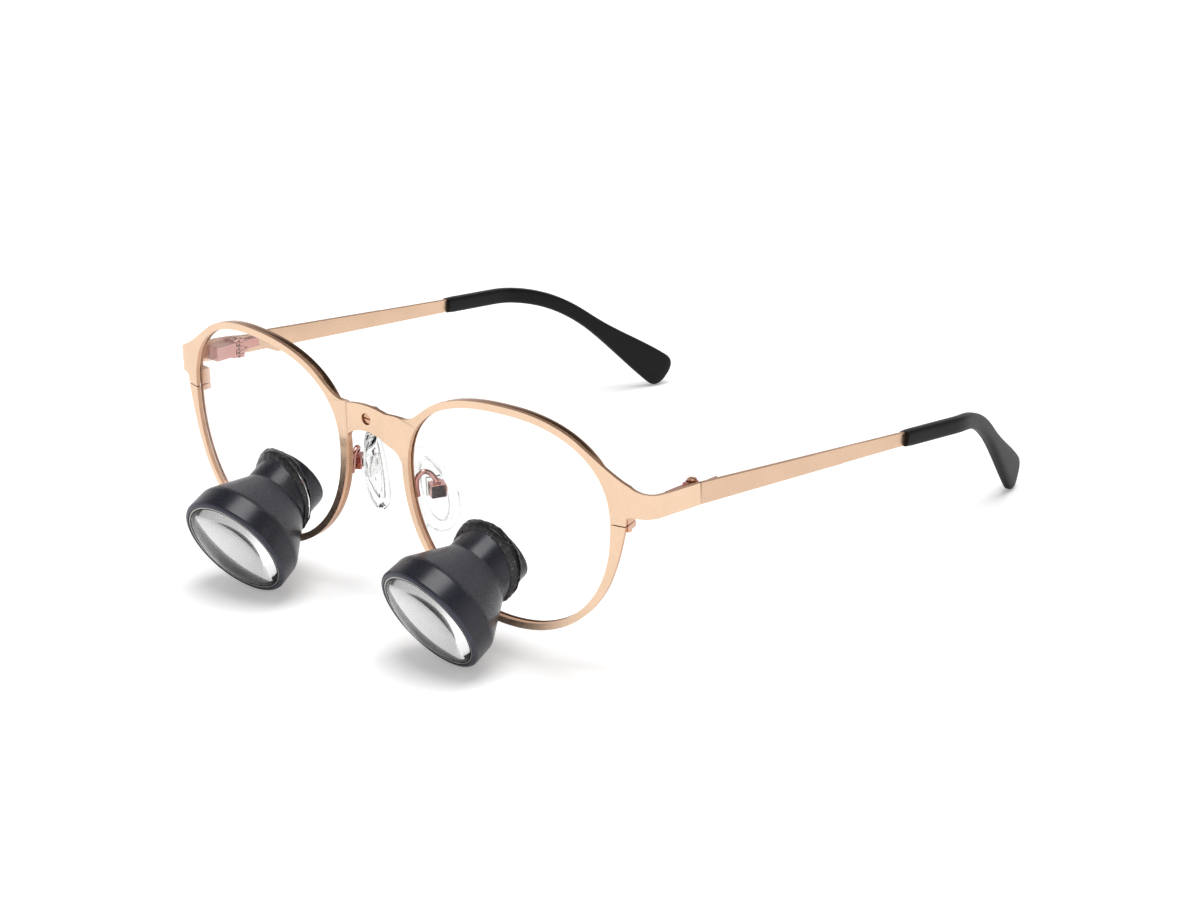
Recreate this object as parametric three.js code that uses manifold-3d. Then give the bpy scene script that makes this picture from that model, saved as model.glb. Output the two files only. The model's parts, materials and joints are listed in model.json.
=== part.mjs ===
// Surgical loupes: two bonded Galilean telescopes in a folding metal spectacle frame.
// Millimetres, +Z up. The wearer looks along -Y and the wearer's left side is +X.
import * as THREE from 'three';
import { mergeVertices } from 'three/addons/utils/BufferGeometryUtils.js';
import Module from 'manifold-3d';

const wasm = await Module();
wasm.setup();

const rad = THREE.MathUtils.degToRad;
const lerp = THREE.MathUtils.lerp;
const vec = (x, y, z) => new THREE.Vector3(x, y, z);
const flatVec = (x, y) => new THREE.Vector2(x, y);
const span = (count) => Array.from({ length: count + 1 }, (_, i) => i / count);

// Clearances
const FIT = 0.05;
const RUN = 0.15;
const PIN_PLAY = 0.08;

// Front: the sheet's curve seen from above, its lean, and its thickness
const FRONT_TILT = 3.2;
const FRONT_RADIUS = 211;
const FRONT_APEX = 13.2;
const PLATE_T = 0.9;

// Lens opening: four superellipse quarters about one middle point
const BRIDGE_GAP = 20.1;
const OPEN_NASAL = 26.5;
const OPEN_TEMPLE = 24.4;
const OPEN_UP = 18.8;
const OPEN_DOWN = 26.4;
const OPEN_MIDDLE_Z = 7.2;
const ROUND_TOP_TEMPLE = 2.27;
const ROUND_TOP_NASAL = 2.35;
const ROUND_LOW_NASAL = 2.1;
const ROUND_LOW_TEMPLE = 2.25;

// Rim of the plate round that opening
const RIM_TOP = 1.55;
const RIM_LOW = 1.45;
const RIM_NASAL_EXTRA = 0.4;
const RIM_NASAL_FADE = rad(12);
const RIM_SEAM_EXTRA = 1.9;
const RIM_SEAM_FADE = rad(14);
const SEAM_GAP = 0.24;
const SEAM_FLARE = 0.2;

// Stretches of the rim by angle: end piece, its upper edge, top, notch, bridge, lower rim
const END_FROM = rad(3.5);
const END_TO = rad(20.5);
const EDGE_TO = rad(50.5);
const TOP_TO = rad(132);
const NOTCH_TO = rad(150.5);
const BRIDGE_TO = rad(176);
const EDGE_LEAVE_RUN = 3.2;
const EDGE_LEAVE_RISE = 1.2;
const EDGE_MEET_RUN = 3.5;
const EDGE_MEET_FALL = 2.3;
const NOTCH_LEAVE_RUN = 3.5;
const NOTCH_LEAVE_FALL = 2.4;
const NOTCH_MEET_RUN = 3.4;
const NOTCH_MEET_FALL = 0.9;

// Bridge, pressed forward of the rims
const BRIDGE_RISE = 1.7;
const BRIDGE_FOLD = 3.4;
const BRIDGE_FOLD_IN = 1.7;
const BRIDGE_ROOT_IN = 2.45;
const BRIDGE_TOP_Z = 19.8;
const BRIDGE_TOP_ARCH = 1.2;
const BRIDGE_LOW_Z = 14;
const BRIDGE_LOW_ARCH = 5.6;
const BRIDGE_LOW_SPREAD = 0.3;
const BRIDGE_SCREW_Z = 16.8;
const BRIDGE_SCREW_R = 1.25;
const BRIDGE_SCREW_RECESS = 0.35;
const BRIDGE_BOSS_R = 2.3;
const BRIDGE_BOSS_DEPTH = 2.1;
const BRIDGE_BOSS_BEVEL = 0.3;
const SCREW_SLOT_W = 0.4;
const SCREW_SLOT_DEPTH = 0.5;

// End piece: leaves the rim, bends back and runs to the hinge
const END_OUT = 4.4;
const END_LOW_Z = 9.5;
const END_TOP_Z = 16;
const END_FLARE = 1.8;
const END_FLARE_LENGTH = 3;
const END_BEND_R = 5;
const END_RUN = 12.3;
const HINGE_RISE = 2.6;

// Eyewire and carrier lens behind the plate
const EYEWIRE_OUT = 1.35;
const EYEWIRE_GROOVE = 0.6;
const EYEWIRE_DEPTH = 1.6;
const EYEWIRE_LIP = 0.35;
const LENS_BITE = 0.5;
const LENS_CROWN = 1.6;

// Closing block behind the seam
const BLOCK_W = 2.1;
const BLOCK_DEPTH = 3.3;
const BLOCK_LAP = 1.2;
const BLOCK_UP = 3.3;
const BLOCK_DOWN = 1.2;
const CLOSING_SCREW_R = 0.6;
const CLOSING_HEAD_R = 0.95;
const CLOSING_HEAD_H = 0.6;

// Telescope: radii and distances from the front rim along the axis
const TELE_IN = 6.4;
const TELE_RIM_GAP = 3.1;
const TELE_TAIL = 4.8;
const TELE_DECLINE = 24.8;
const TELE_TOE = 4.2;
const RIM_WALL = 1.2;
const RIM_BEVEL = 0.7;
const BAND_TAPER = 0.25;
const BAND_LENGTH = 5;
const BAND_ROUND = 0.5;
const NECK_R = 7.7;
const NECK_LENGTH = 7.6;
const NECK_ROUND = 0.7;
const BARREL_LENGTH = 21.6;
const BARREL_WALL = 1.5;
const OBJECTIVE_R = 11.8;
const OBJECTIVE_EDGE = 3;
const OBJECTIVE_CROWN = 3.4;
const LOCK_RING_W = 0.5;
const LOCK_RING_T = 1.1;
const LOCK_RING_SINK = 0.1;
const LOCK_RING_BEVEL = 0.2;
const SEAT_W = 1.1;
const EYEPIECE_R = 6.75;
const EYEPIECE_T = 2.4;
const EYEPIECE_HOLLOW = 0.9;
const EYE_RING_T = 0.6;
const EYE_RING_W = 1.2;
const EYE_RING_DEPTH = 2;
const EYE_RING_BEVEL = 0.25;
const BOND_GAP = 0.4;
const BEAD_W = 0.65;
const BEAD_H = 1;

// Nose pad, its screw and its clevis, about the screw's middle
const PAD_ARM_X = 11.9;
const PAD_ARM_Y = 6.8;
const PAD_ARM_Z = 1.4;
const PAD_SPLAY = 29;
const PAD_LEAN = 1;
const PAD_STAND = 3.5;
const PAD_BACK = 0.5;
const PAD_DROP = 1.6;
const PAD_TILT = rad(14);
const PAD_LENGTH = 20.5;
const PAD_WIDTH = 10.4;
const PAD_T = 2.6;
const PAD_BOW = 0.6;
const PAD_TAPER = 0.16;
const CORE_FOOT_T = 0.6;
const CORE_FOOT_H = 4;
const CLEVIS_W = 3.2;
const CLEVIS_WALL = 0.7;
const PAD_EYE_WALL = 0.4;
const PAD_SCREW_R = 0.45;
const PAD_SCREW_HEAD_R = 0.75;
const PAD_SCREW_HEAD_H = 0.45;
const ARM_WIRE_R = 0.55;
const ARM_ROOT = rad(193);
const ARM_LOOP_H = 5;
const ARM_LOOP_DEPTH = 3;
const COLLAR_WALL = 0.25;
const COLLAR_LENGTH = 0.8;
const COLLAR_OUT = 0.4;

// Hinge
const KNUCKLE_R = 1.35;
const KNUCKLE_H = 0.84;
const KNUCKLE_COUNT = 5;
const HINGE_PIN_R = 0.6;
const HINGE_HEAD_R = 1;
const HINGE_HEAD_H = 0.5;
const LEAF_LENGTH = 5.5;
const LEAF_LAP = 0.5;
const LEAF_INSET = 0.2;
const TEMPLE_LEAF_H = 3.4;
const TEMPLE_LEAF_T = 1.1;

// Temple blade and its tip
const BLADE_H = 4.7;
const BLADE_H_STEP = 3.6;
const BLADE_H_SLEEVE = 3.1;
const BLADE_H_END = 2.5;
const BLADE_T = 0.9;
const BLADE_STEP = 0.15;
const STEP_AT = 46.4;
const STEP_RUN = 0.2;
const TEMPLE_SLOPE = 5.5;
const SLEEVE_AT = 68.5;
const SLEEVE_POCKET = 14;
const SLEEVE_PLAY = 0.08;
const SLEEVE_H = 3.6;
const SLEEVE_T = 2.9;
const TIP_STRAIGHT_LENGTH = 21;
const TIP_BEND_LENGTH = 30;
const TIP_DROP_LENGTH = 24.6;
const TIP_DROP_ANGLE = 39;
const TIP_DROP_LEAD_LENGTH = 7;
const TIP_SWEEP_ANGLE = 18.5;
const TIP_SWEEP_LEAD_LENGTH = 5;
const TIP_SWEEP_RUN_LENGTH = 9;
const PADDLE_H = 8.6;
const PADDLE_RISE = 0.5;
const PADDLE_ROUND = 3.6;

// Facets
const LATHE_SIDES = 28;
const EYEPIECE_SIDES = 20;
const SMALL_SIDES = 16;
const PIN_SIDES = 12;
const END_ROWS = 3;
const BRIDGE_ROWS = 4;
const EDGE_STEPS = 7;
const TOP_STEPS = 13;
const NOTCH_STEPS = 5;
const LOW_STEPS = 28;

const ROSE_GOLD = { color: 0xe3bb9a, roughness: 0.32, metalness: 1 };
const ROSE_DARK = { color: 0xc99c80, roughness: 0.28, metalness: 1 };
const BARREL_GREY = { color: 0x3b3d45, roughness: 0.45, metalness: 0.6 };
const RING_BARE = { color: 0xb3b0ab, roughness: 0.25, metalness: 1 };
const RING_BLACK = { color: 0x16161a, roughness: 0.5, metalness: 0.2 };
const TIP_BLACK = { color: 0x1d1d20, roughness: 0.55, metalness: 0 };
const CLEAR = { color: 0xf2f6f8, roughness: 0.05, metalness: 0 };
const RESIN = { color: 0x3d3b3b, roughness: 0.15, metalness: 0 };
const SILICONE = { color: 0xeef1f0, roughness: 0.25, metalness: 0 };

// Solid helpers

function facets(points, triangles) {
  const geometry = new THREE.BufferGeometry().setFromPoints(points);
  geometry.setIndex(triangles.flat());
  return geometry;
}

function solidOf(geometry) {
  const bare = geometry.clone();
  bare.deleteAttribute('normal');
  bare.deleteAttribute('uv');
  const merged = mergeVertices(bare, 1e-4);
  const vertProperties = Float32Array.from(merged.attributes.position.array);
  const triVerts = Uint32Array.from(merged.index.array);
  return new wasm.Manifold(new wasm.Mesh({ numProp: 3, vertProperties, triVerts }));
}

function geometryOf(solid) {
  const mesh = solid.getMesh();
  const geometry = new THREE.BufferGeometry();
  geometry.setAttribute('position', new THREE.BufferAttribute(mesh.vertProperties, 3));
  geometry.setIndex(new THREE.BufferAttribute(mesh.triVerts, 1));
  return geometry;
}

const join = (...pieces) => geometryOf(pieces.map(solidOf).reduce((sum, piece) => sum.add(piece)));
const cut = (base, tool) => geometryOf(solidOf(base).subtract(solidOf(tool)));

function flipped(geometry) {
  const index = geometry.index.array.slice();
  for (let i = 0; i < index.length; i += 3) {
    [index[i], index[i + 1]] = [index[i + 1], index[i]];
  }
  geometry.setIndex(new THREE.BufferAttribute(index, 1));
  return geometry;
}

// Turns a closed surface so that its faces look outwards
function outward(geometry) {
  const place = geometry.attributes.position;
  const index = geometry.index.array;
  const corner = (i) => new THREE.Vector3().fromBufferAttribute(place, index[i]);
  let volume = 0;
  for (let i = 0; i < index.length; i += 3) {
    volume += corner(i).dot(corner(i + 1).cross(corner(i + 2)));
  }
  return volume < 0 ? flipped(geometry) : geometry;
}

// A copy for the given side: 1 keeps the left piece, -1 mirrors it for the right
function handed(geometry, side) {
  if (side > 0) return geometry;
  const bare = geometry.clone();
  bare.deleteAttribute('normal');
  bare.deleteAttribute('uv');
  return flipped(mergeVertices(bare, 1e-4).scale(-1, 1, 1));
}

// A closed skin over rings of points, capped at both ends or carried round
function skin(rings, closed = false, cap = null) {
  const size = rings[0].length;
  const triangles = [];
  const steps = closed ? rings.length : rings.length - 1;
  for (let k = 0; k < steps; k++) {
    const a = k * size;
    const b = ((k + 1) % rings.length) * size;
    for (let j = 0; j < size; j++) {
      const n = (j + 1) % size;
      triangles.push([a + j, a + n, b + n], [a + j, b + n, b + j]);
    }
  }
  if (!closed) {
    const fan = cap ?? span(size - 3).map((_, i) => [0, i + 1, i + 2]);
    const last = (rings.length - 1) * size;
    for (const [p, q, r] of fan) {
      triangles.push([p, r, q], [last + p, last + q, last + r]);
    }
  }
  return outward(facets(rings.flat(), triangles));
}

// A sheet solid: cells are quads over matching front and back points
function sheet(cells, front, back) {
  const count = front.length;
  const triangles = [];
  const edges = new Map();
  for (const cell of cells) {
    const [a, b, c, d] = cell;
    triangles.push([a, b, c], [a, c, d]);
    triangles.push([count + a, count + c, count + b], [count + a, count + d, count + c]);
    cell.forEach((from, i) => {
      const to = cell[(i + 1) % cell.length];
      if (!edges.delete(`${to}_${from}`)) edges.set(`${from}_${to}`, [from, to]);
    });
  }
  for (const [from, to] of edges.values()) {
    triangles.push([to, from, count + from], [to, count + from, count + to]);
  }
  return facets([...front, ...back], triangles);
}

function lathe(profile, sides) {
  return outward(new THREE.LatheGeometry(profile.map(([r, y]) => flatVec(r, y)), sides));
}

// Round bars along Y and along Z between two places
function barY(radius, low, high, sides) {
  const bar = new THREE.CylinderGeometry(radius, radius, high - low, sides);
  return bar.translate(0, (low + high) / 2, 0);
}

function barZ(radius, low, high, sides) {
  return barY(radius, low, high, sides).rotateX(Math.PI / 2);
}

function box(x0, x1, y0, y1, z0, z1) {
  const block = new THREE.BoxGeometry(x1 - x0, y1 - y0, z1 - z0);
  return block.translate((x0 + x1) / 2, (y0 + y1) / 2, (z0 + z1) / 2);
}

// The front's curve: distance along it gives a place and a backward normal

const lensMiddleX = BRIDGE_GAP / 2 + OPEN_NASAL;
const openEdgeX = lensMiddleX + OPEN_TEMPLE;
const endX = openEdgeX + END_OUT;
const foldOuterX = BRIDGE_GAP / 2 - BRIDGE_FOLD_IN;
const foldInnerX = foldOuterX - BRIDGE_FOLD;

function frontY(x) {
  const t = THREE.MathUtils.clamp((foldOuterX - x) / BRIDGE_FOLD, 0, 1);
  const run = Math.max(x, foldInnerX) - FRONT_APEX;
  return run ** 2 / (2 * FRONT_RADIUS) - BRIDGE_RISE * t * t * (3 - 2 * t);
}

const slopeAt = (x) => (frontY(x + 0.01) - frontY(x - 0.01)) / 0.02;
const endAngle = Math.atan(slopeAt(endX));
const bendLength = END_BEND_R * (Math.PI / 2 - endAngle);
const endLength = endX + bendLength + END_RUN;
const bendX = endX - END_BEND_R * Math.sin(endAngle);
const bendY = frontY(endX) + END_BEND_R * Math.cos(endAngle);
const templeOuterX = bendX + END_BEND_R;
const hingeY = bendY + END_RUN;

// Point on the front at run s and height z, set a depth behind the front face
function onFront(s, z, depth = 0) {
  const run = Math.abs(s);
  const side = s < 0 ? -1 : 1;
  let angle = 0;
  let x = run;
  let y = 0;
  if (run <= endX) {
    angle = Math.atan(slopeAt(run));
    y = frontY(run);
  } else {
    angle = Math.min(endAngle + (run - endX) / END_BEND_R, Math.PI / 2);
    x = bendX + END_BEND_R * Math.sin(angle);
    y = bendY - END_BEND_R * Math.cos(angle) + Math.max(run - endX - bendLength, 0);
  }
  return vec(side * (x - depth * Math.sin(angle)), y + depth * Math.cos(angle), z);
}

// Bends a geometry drawn as (run, depth, height) onto the front
function bendOntoFront(geometry) {
  const place = geometry.attributes.position;
  for (let i = 0; i < place.count; i++) {
    const p = onFront(place.getX(i), place.getZ(i), place.getY(i));
    place.setXYZ(i, p.x, p.y, p.z);
  }
  return geometry;
}

const depthAt = (p) => (p.y - frontY(p.x)) * Math.cos(Math.atan(slopeAt(p.x)));

// How far the carrier lens stands forward of the front's own curve at a point
function lensCrown(x, z) {
  const dx = x - lensMiddleX;
  const dz = z - OPEN_MIDDLE_Z;
  const wide = (dx < 0 ? OPEN_NASAL : OPEN_TEMPLE) - LENS_BITE;
  const high = (dz < 0 ? OPEN_DOWN : OPEN_UP) - LENS_BITE;
  const share = Math.min((dx / wide) ** 2 + (dz / high) ** 2, 1);
  return LENS_CROWN * (1 - share);
}

// The lens opening's outline, by angle from the temple side, grown by an offset

function openingPoint(angle) {
  const c = Math.cos(angle);
  const s = Math.sin(angle);
  const nasal = c < 0;
  const low = s < 0;
  const top = nasal ? ROUND_TOP_NASAL : ROUND_TOP_TEMPLE;
  const bottom = nasal ? ROUND_LOW_NASAL : ROUND_LOW_TEMPLE;
  const power = 2 / (low ? bottom : top);
  const dx = (nasal ? -OPEN_NASAL : OPEN_TEMPLE) * Math.abs(c) ** power;
  const dz = (low ? -OPEN_DOWN : OPEN_UP) * Math.abs(s) ** power;
  return flatVec(lensMiddleX + dx, OPEN_MIDDLE_Z + dz);
}

function outline(angle, offset) {
  const step = 0.02;
  const along = openingPoint(angle + step).sub(openingPoint(angle - step)).normalize();
  return openingPoint(angle).add(flatVec(along.y, -along.x).multiplyScalar(offset));
}

// Angles at which the opening's temple side lies half the seam's gap above and below its middle
const seamAngle = Math.asin((SEAM_GAP / 2 / OPEN_UP) ** (ROUND_TOP_TEMPLE / 2));
const seamTurn = Math.asin((SEAM_GAP / 2 / OPEN_DOWN) ** (ROUND_LOW_TEMPLE / 2));
const seamAngleLow = 2 * Math.PI - seamTurn;

const stretch = (from, to, steps) => span(steps).slice(0, steps).map((t) => lerp(from, to, t));
const rimAngles = [
  seamAngle,
  (seamAngle + END_FROM) / 2,
  ...stretch(END_FROM, END_TO, END_ROWS),
  ...stretch(END_TO, EDGE_TO, EDGE_STEPS),
  ...stretch(EDGE_TO, TOP_TO, TOP_STEPS),
  ...stretch(TOP_TO, NOTCH_TO, NOTCH_STEPS),
  ...stretch(NOTCH_TO, BRIDGE_TO, BRIDGE_ROWS),
  ...stretch(BRIDGE_TO, seamAngleLow, LOW_STEPS),
  seamAngleLow,
];

const bridgeRootX = BRIDGE_GAP / 2 - BRIDGE_ROOT_IN;
const bridgeTop = (x) => BRIDGE_TOP_Z - BRIDGE_TOP_ARCH * (x / bridgeRootX) ** 2;
const bridgeLow = (x) => {
  const share = x / (bridgeRootX + BRIDGE_LOW_SPREAD);
  return BRIDGE_LOW_Z - BRIDGE_LOW_ARCH * (1 - Math.sqrt(1 - share ** 2));
};

function rimWidth(angle) {
  const nasal = RIM_NASAL_EXTRA * Math.exp((BRIDGE_TO - angle) / RIM_NASAL_FADE);
  const seam = RIM_SEAM_EXTRA * Math.exp((angle - 2 * Math.PI) / RIM_SEAM_FADE);
  return RIM_LOW + nasal + seam;
}

// The end piece's edges at a run beyond the rim
const endShare = (s) => (s - endX) / (endLength - endX);
const hingeMiddleZ = OPEN_MIDDLE_Z + HINGE_RISE;
const endTop = (s) => {
  const taper = lerp(END_TOP_Z - END_FLARE, hingeMiddleZ + BLADE_H / 2, endShare(s));
  return taper + END_FLARE * Math.exp((endX - s) / END_FLARE_LENGTH);
};
const endLow = (s) => lerp(END_LOW_Z, hingeMiddleZ - BLADE_H / 2, endShare(s));

const edgeStart = flatVec(endX, endTop(endX));
const edgeEnd = outline(EDGE_TO, RIM_TOP);
const upperEdge = new THREE.CubicBezierCurve(
  edgeStart,
  edgeStart.clone().add(flatVec(-EDGE_LEAVE_RUN, EDGE_LEAVE_RISE)),
  edgeEnd.clone().add(flatVec(EDGE_MEET_RUN, -EDGE_MEET_FALL)),
  edgeEnd,
);
const notchStart = outline(TOP_TO, RIM_TOP);
const notchEnd = flatVec(bridgeRootX, bridgeTop(bridgeRootX));
const notchEdge = new THREE.CubicBezierCurve(
  notchStart,
  notchStart.clone().add(flatVec(-NOTCH_LEAVE_RUN, -NOTCH_LEAVE_FALL)),
  notchEnd.clone().add(flatVec(NOTCH_MEET_RUN, -NOTCH_MEET_FALL)),
  notchEnd,
);

// Outer edge of the plate for an angle on the opening
function plateEdge(angle) {
  const share = (from, to) => (angle - from) / (to - from);
  if (angle < END_FROM) {
    const t = share(seamAngle, END_FROM);
    const x = openEdgeX + RIM_LOW + RIM_SEAM_EXTRA + SEAM_FLARE * t;
    return flatVec(x, lerp(outline(seamAngle, 0).y, END_LOW_Z, t));
  }
  if (angle < END_TO) return flatVec(endX, lerp(endLow(endX), endTop(endX), share(END_FROM, END_TO)));
  if (angle < EDGE_TO) return upperEdge.getPoint(share(END_TO, EDGE_TO));
  if (angle < TOP_TO) return outline(angle, RIM_TOP);
  if (angle < NOTCH_TO) return notchEdge.getPoint(share(TOP_TO, NOTCH_TO));
  if (angle < BRIDGE_TO) {
    const z = lerp(bridgeTop(bridgeRootX), bridgeLow(bridgeRootX), share(NOTCH_TO, BRIDGE_TO));
    return flatVec(bridgeRootX, z);
  }
  if (angle === BRIDGE_TO) return flatVec(bridgeRootX, bridgeLow(bridgeRootX));
  return outline(angle, rimWidth(angle));
}

// Front plate: one sheet of rims, bridge and end pieces
function frontPlate() {
  const flat = [];
  const known = new Map();
  const vertex = (p, side) => {
    const key = `${(side * p.x).toFixed(3)},${p.y.toFixed(3)}`;
    if (!known.has(key)) {
      known.set(key, flat.length);
      flat.push([side * p.x, p.y]);
    }
    return known.get(key);
  };
  const cells = [];
  const quad = (corners, side) => {
    const cell = corners.map((p) => vertex(p, side));
    cells.push(side > 0 ? cell : cell.reverse());
  };
  const strip = (columns, low, high, rows, side) => {
    const at = (s, row) => flatVec(s, lerp(low(s), high(s), row / rows));
    columns.slice(1).forEach((s, j) => {
      for (let row = 0; row < rows; row++) {
        quad([at(columns[j], row), at(s, row), at(s, row + 1), at(columns[j], row + 1)], side);
      }
    });
  };
  const bendColumns = span(8).map((t) => endX + bendLength * t);
  const runColumns = span(3).slice(1).map((t) => endX + bendLength + END_RUN * t);
  const endColumns = [...bendColumns, ...runColumns];
  const foldColumns = span(7).map((t) => lerp(foldInnerX, bridgeRootX, t));
  const bridgeColumns = [0, foldInnerX / 2, ...foldColumns];
  for (const side of [1, -1]) {
    rimAngles.slice(1).forEach((angle, i) => {
      const before = rimAngles[i];
      quad([outline(before, 0), plateEdge(before), plateEdge(angle), outline(angle, 0)], side);
    });
    strip(endColumns, endLow, endTop, END_ROWS, side);
    strip(bridgeColumns, bridgeLow, bridgeTop, BRIDGE_ROWS, side);
  }
  const front = flat.map(([s, z]) => onFront(s, z));
  const back = flat.map(([s, z]) => onFront(s, z, PLATE_T));
  const hole = barY(BRIDGE_SCREW_R + FIT, -PLATE_T, 2 * PLATE_T, SMALL_SIDES);
  return cut(sheet(cells, front, back), hole.translate(0, frontY(0), BRIDGE_SCREW_Z));
}

// Bridge screw with its slot, and the boss it threads into
function bridgeScrew() {
  const r = BRIDGE_SCREW_R - FIT;
  const half = SCREW_SLOT_W / 2;
  const floor = BRIDGE_SCREW_RECESS + SCREW_SLOT_DEPTH;
  const shank = barY(r, BRIDGE_SCREW_RECESS, PLATE_T + BRIDGE_BOSS_DEPTH, SMALL_SIDES);
  const slot = box(-BRIDGE_SCREW_R, BRIDGE_SCREW_R, 0, floor, -half, half);
  return cut(shank, slot).translate(0, frontY(0), BRIDGE_SCREW_Z);
}

function bridgeBoss() {
  const near = PLATE_T + FIT;
  const far = PLATE_T + BRIDGE_BOSS_DEPTH;
  const bore = BRIDGE_SCREW_R + FIT;
  const ring = lathe([
    [bore, near],
    [BRIDGE_BOSS_R, near],
    [BRIDGE_BOSS_R - BRIDGE_BOSS_BEVEL, far],
    [bore, far],
    [bore, near],
  ], SMALL_SIDES);
  return ring.translate(0, frontY(0), BRIDGE_SCREW_Z);
}

// Eyewire: a grooved section carried round the opening from seam to seam
const eyewireNear = PLATE_T + FIT;
const eyewireFar = PLATE_T + EYEWIRE_DEPTH;
const lensFar = eyewireFar - EYEWIRE_LIP - FIT;
const lensNear = PLATE_T + FIT;

function eyewire() {
  const section = [
    [EYEWIRE_OUT, eyewireNear],
    [EYEWIRE_GROOVE, eyewireNear],
    [EYEWIRE_GROOVE, eyewireFar - EYEWIRE_LIP],
    [FIT, eyewireFar - EYEWIRE_LIP],
    [FIT, eyewireFar],
    [EYEWIRE_OUT, eyewireFar],
  ].map(([offset, depth]) => flatVec(offset, depth));
  const turn = Math.sign(THREE.ShapeUtils.area(section));
  const cap = THREE.ShapeUtils.triangulateShape(section, []).map(([a, b, c]) => {
    const corner = THREE.ShapeUtils.area([section[a], section[b], section[c]]);
    return Math.sign(corner) === turn ? [a, b, c] : [a, c, b];
  });
  const rings = rimAngles.map((angle) => section.map(({ x: offset, y: depth }) => {
    const p = outline(angle, offset);
    return onFront(p.x, p.y, depth);
  }));
  return skin(rings, false, cap);
}

// Carrier lens: a curved disc with an oblique hole for the telescope
function carrierLens(telescope) {
  const sides = 32;
  const shares = [0.3, 0.63, 0.96, 1];
  const flat = [flatVec(lensMiddleX, OPEN_MIDDLE_Z)];
  for (const share of shares) {
    for (let i = 0; i < sides; i++) {
      const edge = outline((2 * Math.PI * i) / sides, LENS_BITE);
      flat.push(flat[0].clone().lerp(edge, share));
    }
  }
  const at = (ring, i) => 1 + ring * sides + (i % sides);
  const triangles = [];
  const count = flat.length;
  const face = (a, b, c) => triangles.push([a, b, c], [count + a, count + c, count + b]);
  for (let i = 0; i < sides; i++) {
    face(0, at(0, i), at(0, i + 1));
    for (let ring = 1; ring < shares.length; ring++) {
      face(at(ring - 1, i), at(ring, i), at(ring, i + 1));
      face(at(ring - 1, i), at(ring, i + 1), at(ring - 1, i + 1));
    }
    const [a, b] = [at(shares.length - 1, i), at(shares.length - 1, i + 1)];
    triangles.push([b, a, count + a], [b, count + a, count + b]);
  }
  const front = flat.map((p) => onFront(p.x, p.y, lensNear - lensCrown(p.x, p.y)));
  const back = flat.map((p) => onFront(p.x, p.y, lensFar - lensCrown(p.x, p.y)));
  const drill = barY(NECK_R + BOND_GAP, 0, 2 * BARREL_LENGTH, LATHE_SIDES);
  return cut(facets([...front, ...back], triangles), drill.applyMatrix4(telescope.matrix));
}

// Closing blocks: an L-shaped section behind the seam, split at the seam and screwed together
const blockIn = openEdgeX + EYEWIRE_OUT + FIT;
const blockScrewX = blockIn + BLOCK_W / 2;
const blockScrewY = PLATE_T + FIT + BLOCK_DEPTH / 2;

function closingBlock(low, high) {
  const near = PLATE_T + FIT;
  const lapNear = eyewireFar + FIT;
  const shape = new THREE.Shape();
  shape.moveTo(blockIn, near);
  shape.lineTo(blockIn + BLOCK_W, near);
  shape.lineTo(blockIn + BLOCK_W, near + BLOCK_DEPTH);
  shape.lineTo(blockIn - BLOCK_LAP, near + BLOCK_DEPTH);
  shape.lineTo(blockIn - BLOCK_LAP, lapNear);
  shape.lineTo(blockIn, lapNear);
  const hole = new THREE.Path();
  hole.absarc(blockScrewX, blockScrewY, CLOSING_SCREW_R + PIN_PLAY, 0, 2 * Math.PI, true);
  shape.holes.push(hole);
  const settings = { depth: high - low, bevelEnabled: false, curveSegments: PIN_SIDES / 2 };
  return bendOntoFront(new THREE.ExtrudeGeometry(shape, settings).translate(0, 0, low));
}

function closingScrew() {
  const bottom = OPEN_MIDDLE_Z - SEAM_GAP / 2 - BLOCK_DOWN;
  const top = OPEN_MIDDLE_Z + SEAM_GAP / 2 + BLOCK_UP;
  const profile = [
    [0, bottom - CLOSING_HEAD_H],
    [CLOSING_HEAD_R, bottom - CLOSING_HEAD_H],
    [CLOSING_HEAD_R, bottom - FIT],
    [CLOSING_SCREW_R, bottom - FIT],
    [CLOSING_SCREW_R, top],
    [0, top],
  ];
  const seat = onFront(blockScrewX, 0, blockScrewY);
  return lathe(profile, PIN_SIDES).rotateX(Math.PI / 2).translate(seat.x, seat.y, 0);
}

// Telescope pieces, turned about their own Y axis from the front rim backwards
const lockRingNear = LOCK_RING_SINK - RIM_BEVEL;
const lockRingFar = lockRingNear + LOCK_RING_T;
const objectiveFar = lockRingFar + OBJECTIVE_EDGE + 2 * FIT;
const neckStart = BARREL_LENGTH - NECK_LENGTH;
const boreR = NECK_R - BARREL_WALL;
const eyepieceNear = BARREL_LENGTH - EYEPIECE_T - EYE_RING_DEPTH;
const seatR = OBJECTIVE_R - SEAT_W;

function barrel() {
  const frontBore = OBJECTIVE_R + 2 * FIT;
  const rearBore = EYEPIECE_R + 2 * FIT;
  const rimR = OBJECTIVE_R + RIM_WALL;
  const bandR = rimR - BAND_TAPER;
  return lathe([
    [frontBore, -RIM_BEVEL],
    [rimR - RIM_BEVEL, -RIM_BEVEL],
    [rimR - RIM_BEVEL * 0.3, -RIM_BEVEL * 0.6],
    [rimR, 0],
    [bandR, BAND_LENGTH - BAND_ROUND],
    [bandR - BAND_ROUND * 0.5, BAND_LENGTH + BAND_ROUND * 0.6],
    [NECK_R + NECK_ROUND * 0.6, neckStart - NECK_ROUND],
    [NECK_R, neckStart],
    [NECK_R, BARREL_LENGTH],
    [rearBore, BARREL_LENGTH],
    [rearBore, eyepieceNear - FIT],
    [boreR, eyepieceNear - FIT],
    [boreR, neckStart],
    [seatR, BAND_LENGTH + BAND_ROUND],
    [seatR, objectiveFar],
    [frontBore, objectiveFar],
    [frontBore, -RIM_BEVEL],
  ], LATHE_SIDES);
}

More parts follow.
